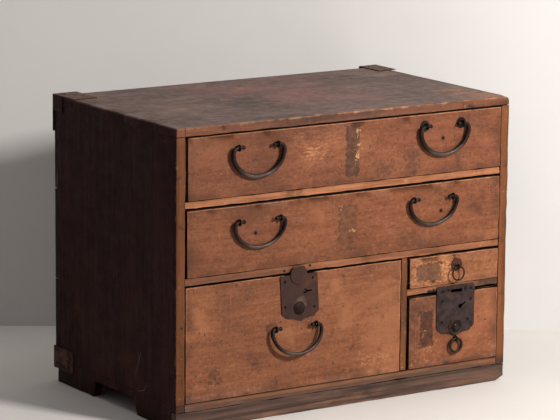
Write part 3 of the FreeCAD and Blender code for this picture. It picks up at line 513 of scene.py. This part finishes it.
# Painted shade along the top of the bottom board, under the drawer's lower edge.
bottom_wood.lay(painted_gap_shade, bottom_wood.fade(
    bottom_wood.axis("Z"), bottom_high.z - 0.0026, bottom_high.z - 0.0008, 0.0, 0.85))
lay_board("bottom_board", "carcase", "rail_wood", bottom_wood.done(**strip_finish), **strip_wear)

divider_wood = strip_wood("olive_divider_wood", "Z", (0.170, 0.058, 0.0215), (0.091, 0.0315, 0.0127))
lay_board("divider", "carcase", "rail_wood", divider_wood.done(**strip_finish), **strip_wear)

shelf_wood = strip_wood("dim_shelf_wood", "X", (0.310, 0.120, 0.054), (0.128, 0.050, 0.026))
shelf_low, shelf_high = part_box("small_shelf")
stain_length = 0.046
shelf_stain = shelf_wood.patch(
    (shelf_high.x - stain_length, shelf_low.z), (shelf_high.x, shelf_high.z + 0.01), soft=0.012, ragged=0.004)
shelf_wood.lay((0.058, 0.030, 0.022), shelf_wood.both(shelf_stain, 0.95))
# The shelf's lower edge is chipped beside the strong lock plate. The chip is painted black for its shade and the
# plate's shadow.
plate_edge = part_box("strong_lock_plate")[0].x
chip_and_plate_shadow = shelf_wood.patch(
    (plate_edge - 0.016, shelf_low.z - 0.002), (plate_edge + 0.01, shelf_low.z + 0.005), soft=0.007, ragged=0.003)
shelf_wood.lay(nail_and_shade_black, chip_and_plate_shadow)
lay_board(
    "small_shelf", "carcase", "rail_wood", shelf_wood.done(**strip_finish),
    edge=0.0008, wear=0.0016, step=0.012, tight=in_mortise)

# The back is three bare boards laid level and nailed to the sides, never finished, so it has weathered
# to a dull brown with dark water marks. Their ends show at the sides and took the black stain.
back = Finish("weathered_back_wood")
streaks = back.noise((3.5, 60.0, 95.0), 7.0, 0.62, 0.5)
rings = back.figure("Z", 0.017, (0.16, 1.0, 1.0), 5.0)
clouds = back.noise((4.0, 10.0, 7.0), 5.0, 0.6, 0.4)
fibres = back.noise((18.0, 300.0, 800.0), 2.0)
back.colour = back.coat((0.150, 0.094, 0.056), (0.300, 0.205, 0.130), back.fade(streaks, 0.3, 0.7))
back.lay((0.120, 0.070, 0.040), back.fade(rings, 0.55, 1.0, 0.0, 0.55))
back.lay((0.070, 0.050, 0.038), back.fade(clouds, 0.52, 0.72, 0.0, 0.7))
back_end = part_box("back_boards")[1].x
back.lay((0.010, 0.0045, 0.004), back.fade(back.far(back.axis("X")), back_end - 0.0016, back_end - 0.0004))
back.rough = back.fade(clouds, 0.3, 0.7, 0.6, 0.8)
back.height = back.plus(streaks, back.both(fibres, 0.4))
back_material = back.done(depth=0.0008, specular=0.25)
lay_board("back_boards", "carcase", "back_wood", back_material, edge=0.0007, wear=0.0014, step=0.02)

# The runners are nailed to the carcase, and each drawer's sides, back and bottom are nailed together.
# They are thin unfinished softwood, pale inside and greyed by dust and rubbing.
inner = Finish("pale_inner_wood")
streaks = inner.noise((60.0, 4.0, 110.0), 6.0, 0.6, 0.4)
fibres = inner.noise((420.0, 20.0, 700.0), 2.0)
clouds = inner.noise(9.0, 5.0, 0.62, 0.3)
inner.colour = inner.coat((0.305, 0.195, 0.108), (0.430, 0.300, 0.180), inner.fade(streaks, 0.3, 0.7))
inner.lay((0.185, 0.115, 0.068), inner.fade(clouds, 0.5, 0.75, 0.0, 0.6))
inner.rough = inner.fade(clouds, 0.3, 0.7, 0.6, 0.78)
inner.height = inner.plus(streaks, inner.both(fibres, 0.4))
inner_material = inner.done(depth=0.0005, specular=0.25)
lay_board("drawer_runners", "carcase", "inner_wood", inner_material, edge=0.0006, wear=0.0, step=0.05)
for owner in ("top", "middle", "deep", "small", "strong"):
    for piece in ("sides", "back", "bottom"):
        lay_board(
            f"{owner}_drawer_{piece}", f"{owner}_drawer", "inner_wood", inner_material,
            edge=0.0005, wear=0.0, step=0.05)


# The drawer fronts are flat softwood boards stained orange-brown. Their grain runs level, hands have
# darkened them round the pulls, and old paper labels have left bare olive ghosts and torn specks.
def front_wood(owner, shift, tone):
    """The stain and general wear of one front; shift moves its grain, tone tints it."""
    wood = Finish(f"{owner}_front_wood")
    low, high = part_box(f"{owner}_drawer_front")
    streaks = wood.noise((7.0, 60.0, 120.0), 8.0, 0.68, 0.6, shift)
    fibres = wood.noise((30.0, 300.0, 900.0), 3.0, 0.6, 0.0, shift)
    mottle = wood.noise((140.0, 150.0, 220.0), 5.0, 0.74, 0.2, shift)
    clouds = wood.noise((6.5, 8.0, 9.0), 6.0, 0.64, 0.6, shift)
    smears = wood.noise((20.0, 20.0, 17.0), 6.0, 0.66, 0.4, shift + 4.0)
    scratches = wood.noise((420.0, 60.0, 12.0), 3.0, 0.6, 0.3, shift)
    specks = wood.noise(210.0, 2.0, 0.5, 0.0, shift)
    pores = wood.noise((150.0, 500.0, 900.0), 3.0, 0.6, 0.0, shift)

    def stain(*shade):
        return [value * share for value, share in zip(shade, tone)]

    wood.colour = wood.coat(
        stain(0.165, 0.054, 0.0235), stain(0.250, 0.087, 0.039), wood.fade(streaks, 0.28, 0.72))
    for tint, cloud, start, end, share in (
            ((0.075, 0.025, 0.012), pores, 0.55, 0.72, 0.6), ((0.075, 0.026, 0.013), mottle, 0.52, 0.67, 0.55),
            ((0.350, 0.142, 0.066), mottle, 0.47, 0.33, 0.55), ((0.325, 0.124, 0.053), clouds, 0.50, 0.64, 0.6),
            ((0.105, 0.040, 0.021), clouds, 0.47, 0.33, 0.55), ((0.078, 0.033, 0.019), smears, 0.56, 0.76, 0.6)):
        wood.lay(stain(*tint), wood.fade(cloud, start, end, 0.0, share))
    scored = wood.both(wood.fade(scratches, 0.58, 0.72), wood.fade(smears, 0.56, 0.40, 0.0, 0.3))
    wood.lay(stain(0.380, 0.168, 0.080), scored)
    wood.lay((0.026, 0.014, 0.009), wood.fade(specks, 0.67, 0.74, 0.0, 0.75))
    reach = wood.outside((low.x, low.z), (high.x, high.z))
    below_top = wood.fade(wood.axis("Z"), high.z - 0.002, high.z - 0.016, 0.3, 1.0)
    grime = wood.both(wood.fade(reach, -0.022, 0.0), wood.fade(smears, 0.38, 0.60), below_top, 0.6)
    wood.lay(stain(0.078, 0.032, 0.0185), grime)
    # Worn pale arrises with a painted highlight along them, strongest along the top edge.
    arris = wood.both(
        wood.fade(reach, -0.0016, -0.0006), wood.fade(mottle, 0.70, 0.44, 0.0, 0.9),
        wood.fade(wood.axis("Z"), low.z, high.z, 0.1, 1.0))
    wood.lay((0.42, 0.205, 0.112), arris)
    past_face = wood.minus(wood.axis("Y"), low.y)
    # Painted shade: the edge faces of the front, down in the drawer gaps, are painted near-black.
    wood.lay((0.012, 0.007, 0.005), wood.fade(past_face, 0.0012, 0.0030))
    bare = wood.coat((0.150, 0.090, 0.050), (0.260, 0.165, 0.095), streaks)
    wood.lay(bare, wood.fade(past_face, 0.008, 0.0115))
    wood.rough = wood.fade(smears, 0.3, 0.7, 0.45, 0.65)
    wood.height = wood.plus(streaks, wood.plus(wood.both(fibres, 0.45), wood.both(mottle, 0.3)))
    return wood


def hang_front(owner, wood):
    material = wood.done(depth=0.0006, specular=0.14)
    lay_board(
        f"{owner}_drawer_front", f"{owner}_drawer", "front_wood", material,
        edge=0.0008, wear=0.0008, step=0.012, grain=0.012)


def darken_left(wood, share):
    """Painted shade: the wide fronts grow darker towards the left, away from the light."""
    wood.lay((0.080, 0.032, 0.018), wood.fade(wood.axis("X"), 0.16, -0.28, 0.0, share))


def label_ghost(wood, low, high, share, tint):
    """The bare stain of a lost paper label, blotched and darker along its torn border."""
    mark = wood.patch(low, high, soft=0.003, ragged=0.003)
    blotch = wood.fade(wood.noise((80.0, 80.0, 110.0), 5.0, 0.68), 0.3, 0.7)
    shade = wood.coat([0.62 * value for value in tint], [1.4 * value for value in tint], blotch)
    wood.lay(shade, wood.both(mark, share))
    rim = wood.fade(wood.outside(low, high), -0.003, 0.0, 0.0, 0.45)
    wood.lay((0.045, 0.026, 0.016), wood.both(mark, rim))


def peeled(wood, low, high, tint, cut, share, soft, stretch=(95.0, 60.0, 150.0), tilt=0.0):
    """Flecks and scratches of bare wood or paper inside a soft patch."""
    flecks = wood.fade(wood.noise(stretch, 5.0, 0.68, 0.2, 0.0, tilt), cut, cut + 0.1)
    wood.lay(tint, wood.both(wood.patch(low, high, soft, ragged=0.01), flecks, share))


def smudge(wood, low, high, share, tint=(0.050, 0.028, 0.021), soft=0.024):
    """A dark mark left by hands or damp."""
    wood.lay(tint, wood.both(wood.patch(low, high, soft, ragged=soft / 2), share))


def old_hole(wood, x, z, radius=0.0023):
    """An empty hole of an earlier fitting, with a dirty rim."""
    wood.lay((0.085, 0.034, 0.020), wood.both(wood.spot(x, z, radius, soft=0.004), 0.8))
    wood.lay((0.004, 0.003, 0.003), wood.spot(x, z, radius, soft=0.0006))


def behind_plate(wood, node):
    """Paints the wood under a lock plate near-black, as the shade seen through its keyhole."""
    low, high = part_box(node)
    margin = 0.008
    hidden = wood.patch((low.x + margin, low.z + margin), (high.x - margin, high.z - margin), soft=0.002)
    # Painted shade, seen through the keyhole.
    wood.lay((0.004, 0.003, 0.003), hidden)


level_scores, torn_paper, fine_flecks = (60.0, 60.0, 420.0), (240.0, 90.0, 70.0), (160.0, 90.0, 260.0)

front = front_wood("top", 0.0, (0.90, 0.90, 0.98))
darken_left(front, 0.26)
label_ghost(front, (-0.005, 0.355), (0.0205, 0.433), 0.92, (0.080, 0.035, 0.022))
peeled(front, (-0.092, 0.382), (-0.018, 0.428), (0.36, 0.150, 0.070), 0.50, 0.5, 0.03, level_scores, 0.35)
peeled(front, (-0.076, 0.390), (-0.044, 0.406), (0.43, 0.190, 0.085), 0.48, 0.7, 0.012, level_scores, 0.5)
peeled(front, (0.0165, 0.376), (0.0195, 0.424), (0.52, 0.27, 0.12), 0.47, 0.8, 0.003, torn_paper)
smudge(front, (0.108, 0.349), (0.128, 0.387), 0.55)
smudge(front, (0.048, 0.347), (0.080, 0.369), 0.5)
smudge(front, (-0.170, 0.3945), (-0.162, 0.3985), 0.7, soft=0.006)
old_hole(front, 0.176, 0.399)
hang_front("top", front)

front = front_wood("middle", 1.7, (0.955, 0.955, 0.985))
darken_left(front, 0.24)
label_ghost(front, (-0.015, 0.243), (0.016, 0.310), 0.88, (0.122, 0.050, 0.024))
peeled(front, (-0.016, 0.294), (-0.010, 0.310), (0.42, 0.21, 0.10), 0.54, 0.7, 0.004)
peeled(front, (0.008, 0.266), (0.014, 0.274), (0.50, 0.27, 0.13), 0.54, 0.8, 0.004)
smudge(front, (0.100, 0.234), (0.150, 0.262), 0.3)
smudge(front, (0.276, 0.318), (0.288, 0.330), 0.6)
old_hole(front, -0.1656, 0.286)
old_hole(front, 0.1746, 0.2854)
hang_front("middle", front)

front = front_wood("deep", 3.1, (0.96, 1.01, 1.055))
smudge(front, (-0.246, 0.068), (-0.230, 0.082), 0.75)
for x, z, half in (
        (-0.1659, 0.0873, 0.004), (-0.1402, 0.1387, 0.005), (-0.0457, 0.1531, 0.003), (-0.0076, 0.2024, 0.003),
        (0.0663, 0.1315, 0.002), (0.0119, 0.0914, 0.004), (0.0622, 0.0791, 0.003), (0.0663, 0.0575, 0.001),
        (-0.1268, 0.0524, 0.002)):
    smudge(front, (x - half, z - half), (x + half, z + half), 0.6, soft=0.004 + half)
peeled(front, (0.030, 0.062), (0.082, 0.074), (0.40, 0.180, 0.085), 0.44, 0.6, 0.02, fine_flecks)
smudge(front, (-0.288, 0.041), (-0.277, 0.052), 0.7)
smudge(front, (-0.150, 0.128), (-0.132, 0.148), 0.35)
peeled(front, (-0.285, 0.044), (-0.150, 0.072), (0.34, 0.150, 0.070), 0.55, 0.5, 0.04, fine_flecks)
peeled(front, (-0.075, 0.126), (-0.045, 0.156), (0.38, 0.170, 0.080), 0.53, 0.6, 0.02, fine_flecks)
behind_plate(front, "deep_lock_plate")
hang_front("deep", front)

front = front_wood("small", 5.3, (1.14, 1.24, 1.27))
peeled(front, (0.120, 0.170), (0.200, 0.214), (0.46, 0.200, 0.090), 0.45, 0.7, 0.014, fine_flecks)
label_ghost(front, (0.131, 0.177), (0.178, 0.204), 0.92, (0.124, 0.056, 0.030))
peeled(front, (0.176, 0.176), (0.196, 0.206), (0.52, 0.235, 0.10), 0.50, 0.75, 0.01, fine_flecks)
smudge(front, (0.161, 0.1728), (0.1665, 0.1748), 0.9, (0.012, 0.007, 0.005), 0.003)
hang_front("small", front)

front = front_wood("strong", 7.9, (1.03, 1.03, 1.07))
label_ghost(front, (0.139, 0.073), (0.164, 0.129), 0.92, (0.066, 0.026, 0.016))
peeled(front, (0.122, 0.046), (0.176, 0.076), (0.40, 0.18, 0.085), 0.52, 0.6, 0.02, fine_flecks)
peeled(front, (0.1425, 0.0930), (0.1465, 0.0960), (0.46, 0.22, 0.10), 0.50, 0.8, 0.003, fine_flecks)
smudge(front, (0.118, 0.124), (0.170, 0.152), 0.5)
smudge(front, (0.118, 0.062), (0.136, 0.128), 0.35)
smudge(front, (0.186, 0.0395), (0.198, 0.0450), 0.8, soft=0.006)
smudge(front, (0.158, 0.0390), (0.172, 0.0425), 0.6, soft=0.005)
peeled(front, (0.277, 0.047), (0.289, 0.060), (0.38, 0.190, 0.105), 0.46, 0.5, 0.006, fine_flecks)
behind_plate(front, "strong_lock_plate")
hang_front("strong", front)


# The five bails are forged by hand from iron bar, drawn thin at the shoulders, turned in through the
# eyes of split pins and upset into knobs. The pins are driven through the front and clinched inside.
def old_iron(name, dark, light, rust, rusted, dull=None):
    """Scaled and pitted iron; rusted is how far the rust has spread, dull remaps its roughness."""
    iron = Finish(name)
    scale = iron.noise(95.0, 5.0, 0.62, 0.3)
    pits = iron.noise(420.0, 3.0, 0.6)
    clouds = iron.noise(38.0, 4.0, 0.6, 0.2, 6.0)
    iron.colour = iron.coat(dark, light, iron.fade(scale, 0.35, 0.7))
    iron.lay(rust, iron.both(iron.fade(clouds, 0.62 - rusted, 0.86 - rusted), iron.fade(pits, 0.3, 0.6)))
    iron.rough = iron.fade(scale, 0.3, 0.7, 0.38, 0.62)
    if dull:
        iron.rough = iron.fade(iron.rough, *dull)
    iron.height = iron.plus(scale, iron.both(pits, 0.5))
    return iron


def forge(node, body, slot, material, edge=0.0, step=0.0, dent=0.0, merge_flats=False, grain=0.006):
    """One iron piece, its arrises filed off and its faces left uneven by the hammer."""
    piece = whole(node, f"{node}_iron", merge_flats)
    if edge:
        ease_edges(piece, edge, shortest=0.0002)
    if step:
        divide(piece, step)
    if dent:
        rub(piece, dent, grain, contrast=1.2, edges_only=False)
    bpy.ops.object.shade_smooth_by_angle(angle=radians(38))
    piece.data.materials.append(material)
    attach(piece, body)
    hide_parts(node)


for bail in ("top_left_bail", "top_right_bail", "middle_left_bail", "middle_right_bail", "deep_bail"):
    grip_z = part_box(bail)[0].z
    iron = old_iron(
        f"{bail}_iron", (0.0085, 0.0042, 0.0032), (0.026, 0.0150, 0.0115), (0.045, 0.018, 0.010), 0.1)
    # The bottom of each bow is paler: rubbed by hands, with a painted highlight on it.
    grip_wear_and_highlight = iron.both(
        iron.fade(iron.axis("Z"), grip_z + 0.020, grip_z + 0.002),
        iron.fade(iron.noise(60.0, 4.0), 0.3, 0.6, 0.4, 1.0))
    iron.lay((0.082, 0.058, 0.049), grip_wear_and_highlight)
    bail_material = iron.done(depth=0.00035, specular=0.3, metallic=0.5)
    forge(bail, bail, "dark_iron", bail_material, dent=0.0005)
pin_iron = old_iron(
    "black_pin_iron", (0.0085, 0.0055, 0.0046), (0.030, 0.020, 0.0165), (0.045, 0.019, 0.011), 0.1)
pin_material = pin_iron.done(depth=0.0003, specular=0.3, metallic=0.5)
for owner in ("top", "middle", "deep"):
    forge(f"{owner}_handle_pins", f"{owner}_drawer", "dark_iron", pin_material, dent=0.0003)
forge("top_pin_washers", "top_drawer", "dark_iron", pin_material, dent=0.0003)

# The two small drawers have ring pulls of bent wire, each hung in the eye of a split pin. The upper
# one sits on a round plate of sheet iron gone to brown rust.
rust_dull = (0.0, 1.0, 0.3, 0.95)
rust_iron = old_iron(
    "brown_rust_iron", (0.036, 0.0115, 0.0080), (0.085, 0.0270, 0.0170), (0.120, 0.0350, 0.0160), 0.14, rust_dull)
rust_material = rust_iron.done(depth=0.0005, specular=0.24, metallic=0.2)
forge("small_ring", "small_ring", "dark_iron", pin_material)
forge("small_ring_pin", "small_drawer", "dark_iron", pin_material)
forge("small_ring_plate", "small_drawer", "rusty_iron", rust_material, dent=0.0003)
forge("strong_ring", "strong_ring", "dark_iron", pin_material)
forge("strong_ring_pin", "strong_drawer", "dark_iron", pin_material)

# The lock plates are cut from sheet iron with a lobed lower edge, pierced for the key and nailed on.
# The deep drawer's is red-brown with a domed stud; the strong drawer's is black with a fluted boss.
sheet = dict(edge=0.0004, dent=0.0004, merge_flats=True, grain=0.02)
red_iron = old_iron(
    "red_plate_iron", (0.031, 0.0125, 0.0098), (0.050, 0.0195, 0.0145), (0.078, 0.0265, 0.0140), 0.10, rust_dull)
stud = sum(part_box("deep_lock_boss"), Vector()) / 2
worn_ring = red_iron.both(
    red_iron.spot(stud.x + 0.003, stud.z + 0.007, radius=0.005, soft=0.008),
    red_iron.fade(red_iron.noise(130.0, 4.0), 0.35, 0.6, 0.3, 0.9))
red_iron.lay((0.150, 0.092, 0.056), worn_ring)
red_material = red_iron.done(depth=0.0005, specular=0.24, metallic=0.2)
forge("deep_lock_plate", "deep_drawer", "rusty_iron", red_material, step=0.004, **sheet)
stud_iron = old_iron(
    "black_stud_iron", (0.0125, 0.0062, 0.0046), (0.0270, 0.0142, 0.0108), (0.042, 0.0170, 0.0100), 0.1,
    dull=(0.3, 0.7, 0.5, 0.7))
stud_material = stud_iron.done(depth=0.0006, specular=0.08, metallic=0.1)
forge("deep_lock_boss", "deep_drawer", "dark_iron", stud_material)
nail_iron = old_iron(
    "black_nail_iron", (0.0020, 0.0016, 0.0015), (0.0060, 0.0045, 0.0040), (0.012, 0.006, 0.004), 0.05)
nail_material = nail_iron.done(depth=0.0003, specular=0.1, metallic=0.1)
forge("deep_lock_nails", "deep_drawer", "rusty_iron", nail_material)
plate_iron = old_iron(
    "black_plate_iron", (0.0165, 0.0088, 0.0082), (0.048, 0.0275, 0.0255), (0.062, 0.024, 0.014), 0.08)
plate_material = plate_iron.done(depth=0.0004, specular=0.26, metallic=0.25)
forge("strong_lock_plate", "strong_drawer", "dark_iron", plate_material, step=0.004, **sheet)

# The strong drawer's boss is a raised round of sheet iron with a fluted rim, dished inside the rim,
# with a domed rivet head in its middle. It is turned here ring by ring, from the rim inwards.
boss_low, boss_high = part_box("strong_lock_boss")
boss_middle = (boss_low + boss_high) / 2
boss_radius = (boss_high.x - boss_low.x) / 2
rim_height, rim_width = 0.0013, 0.0024
flutes, flute_depth_share = 20, 0.09
rings_inward_and_outward = (
    (0.0004, 0.0005), (0.0006, 0.0002), (0.0009, 0.0), (0.0006, -0.0003), (0.0004, -0.0006), (0.0012, -0.0003),
    (0.0030, 0.0), (0.0006, 0.0003), (0.0003, 0.0014), (0.0005, 0.0008), (0.0011, 0.0007), (0.0017, 0.0004),
)
bpy.ops.object.select_all(action="DESELECT")
bpy.ops.mesh.primitive_circle_add(
    vertices=96, radius=boss_radius, fill_type="NGON",
    location=(boss_middle.x, boss_high.y, boss_middle.z), rotation=(pi / 2, 0, 0))
boss = bpy.context.object
boss.name = "strong_lock_boss_iron"
bpy.ops.object.transform_apply(location=True, rotation=True, scale=True)
bpy.ops.object.mode_set(mode="EDIT")
bpy.ops.mesh.select_all(action="SELECT")
bpy.ops.mesh.extrude_region_move(TRANSFORM_OT_translate={"value": (0, -rim_height, 0)})
for inward, outward in rings_inward_and_outward:
    bpy.ops.mesh.inset(thickness=inward, depth=0.0)
    bpy.ops.transform.translate(value=(0, -outward, 0))
bpy.ops.object.mode_set(mode="OBJECT")
for vertex in boss.data.vertices:
    spoke = vertex.co - boss_middle
    spoke.y = 0.0
    at_rim = max(0.0, 1.0 - (boss_radius - spoke.length) / rim_width)
    dip = 0.5 - 0.5 * cos(flutes * spoke.angle(Vector((1, 0, 0)))) if spoke.length else 0.0
    vertex.co -= spoke * flute_depth_share * at_rim * dip
bpy.ops.object.shade_smooth_by_angle(angle=radians(50))
boss_iron = old_iron(
    "fluted_boss_iron", (0.0180, 0.0105, 0.0092), (0.056, 0.0360, 0.0310), (0.070, 0.030, 0.018), 0.1)
dished = boss_iron.spot(boss_middle.x, boss_middle.z, boss_radius - 0.0045, soft=0.002)
boss_iron.lay((0.0050, 0.0034, 0.0030), boss_iron.both(dished, 0.75))
knob = boss_iron.spot(boss_middle.x, boss_middle.z, radius=0.0042, soft=0.001)
boss_iron.rough = boss_iron.fade(knob, 0.0, 1.0, 0.6, 0.24)
boss_shine = boss_iron.fade(knob, 0.0, 1.0, 0.15, 0.4)
boss.data.materials.append(boss_iron.done(depth=0.0004, specular=boss_shine, metallic=0.3))
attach(boss, "strong_drawer")
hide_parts("strong_lock_boss")
forge("strong_lock_nails", "strong_drawer", "dark_iron", nail_material)

# Behind each plate an open iron case is nailed inside the front. It holds the bolt and the leaf spring
# that presses on it, and these are only seen from inside the drawer.
for owner in ("deep", "strong"):
    for piece in ("case", "spring"):
        forge(f"{owner}_lock_{piece}", f"{owner}_drawer", "dark_iron", rust_material)
    forge(f"{owner}_lock_bolt", f"{owner}_lock_bolt", "dark_iron", pin_material, edge=0.0004, merge_flats=True)

# Straps of rough sheet iron are bent over the rear corners and nailed on, and nails hold the back. They
# have gone brown and black; the straps are dull with dust on top and flake to rust near the floor.
strap_iron = old_iron(
    "brown_strap_iron", (0.0150, 0.0060, 0.0046), (0.0340, 0.0130, 0.0092), (0.060, 0.0215, 0.0120), 0.06,
    dull=(0.0, 1.0, 0.4, 0.95))
dull_top = strap_iron.coat(
    (0.060, 0.032, 0.023), (0.135, 0.074, 0.052),
    strap_iron.fade(strap_iron.noise(90.0, 4.0, 0.65), 0.35, 0.65))
strap_iron.lay(dull_top, strap_iron.fade(strap_iron.axis("Z"), top_z + 0.0004, top_z + 0.0013))
flaked = strap_iron.both(
    strap_iron.fade(strap_iron.axis("Z"), 0.11, 0.09),
    strap_iron.fade(strap_iron.noise((60.0, 60.0, 75.0), 5.0, 0.66, 0.3), 0.40, 0.58, 0.05, 0.85))
strap_iron.lay((0.125, 0.050, 0.025), flaked)
strap_material = strap_iron.done(depth=0.0006, specular=0.2, metallic=0.1)
for straps in ("corner_irons_top", "corner_irons_bottom"):
    forge(straps, "carcase", "rusty_iron", strap_material, step=0.006, **sheet)
forge("carcase_nails", "carcase", "rusty_iron", pin_material)

# A plain studio: a pale floor, a pale wall square to the camera and clear from behind, one soft light
# from the right front, a soft light overhead and a dim warm room round them.
camera_yaw, camera_pitch, camera_roll = 0.5827106, 0.1947311, 0.0089249
camera_place = Vector((-2.61899, -3.78799 + front_y, 1.21110))
view_along = Vector((sin(camera_yaw), cos(camera_yaw), 0.0))
wall_distance, stage_size = 5.11, 14.0


def pale(name, colour):
    """Matt, slightly uneven paint."""
    paint = Finish(name)
    paint.height = paint.noise(3.0, 4.0, 0.6)
    paint.colour = paint.coat(colour, [0.96 * value for value in colour], paint.fade(paint.height, 0.3, 0.7))
    paint.rough = 0.9
    return paint.done(depth=0.0005, specular=0.1)


bpy.ops.object.select_all(action="DESELECT")
bpy.ops.mesh.primitive_plane_add(size=stage_size, location=(0, 0, 0))
floor = bpy.context.object
floor.name = "studio_floor"
floor.data.materials.append(pale("pale_floor", (0.74, 0.71, 0.68)))
wall_foot = Vector((camera_place.x, camera_place.y, 0.0)) + view_along * wall_distance
bpy.ops.mesh.primitive_plane_add(size=stage_size, location=wall_foot, rotation=(pi / 2, 0, -camera_yaw))
wall = bpy.context.object
wall.name = "studio_wall"
wall_paint = pale("pale_wall", (0.755, 0.74, 0.73))
wall.data.materials.append(wall_paint)
shown = wall_paint.node_tree
facing = shown.nodes.new("ShaderNodeNewGeometry")
clear = shown.nodes.new("ShaderNodeBsdfTransparent")
one_sided = shown.nodes.new("ShaderNodeMixShader")
shown.links.new(facing.outputs["Backfacing"], one_sided.inputs[0])
shown.links.new(shown.nodes["Principled BSDF"].outputs[0], one_sided.inputs[1])
shown.links.new(clear.outputs[0], one_sided.inputs[2])
shown.links.new(one_sided.outputs[0], shown.nodes["Material Output"].inputs["Surface"])

world = bpy.data.worlds.new("studio_room")
world.use_nodes = True
room = world.node_tree.nodes["Background"].inputs
room["Color"].default_value = (1.0, 0.975, 0.95, 1.0)
room["Strength"].default_value = 0.115
bpy.context.scene.world = world


def soft_light(name, towards, distance, size, energy, colour):
    """A square area light that looks at the middle of the front."""
    lamp = bpy.data.lights.new(name, "AREA")
    lamp.size = size
    lamp.energy = energy
    lamp.color = colour
    light = bpy.data.objects.new(name, lamp)
    bpy.context.scene.collection.objects.link(light)
    direction = Vector(towards).normalized()
    light.location = Vector((0.0, front_y, 0.25)) + direction * distance
    light.rotation_euler = direction.to_track_quat("Z", "Y").to_euler()


soft_light("key_light", (0.32, -1.0, 0.60), distance=2.15, size=0.3, energy=58.5, colour=(1.0, 0.965, 0.925))
soft_light("top_light", (0.1, 0.1, 1.0), distance=2.6, size=2.4, energy=28.0, colour=(1.0, 0.98, 0.97))

# The camera stands where the photograph was taken from, as solved from the corners of the chest: left of
# its front, about 1.2 m above the floor, with a long lens.
lens = bpy.data.cameras.new("photo_camera")
lens.sensor_width = 36.0
lens.lens = 199.74
lens.clip_end = 50.0
camera = bpy.data.objects.new("photo_camera", lens)
bpy.context.scene.collection.objects.link(camera)
turn = Matrix.Rotation(-camera_yaw, 4, "Z") @ Matrix.Rotation(pi / 2 - camera_pitch, 4, "X")
camera.matrix_world = Matrix.Translation(camera_place) @ turn @ Matrix.Rotation(camera_roll, 4, "Z")
bpy.context.scene.camera = camera
bpy.context.scene.view_settings.view_transform = "Standard"
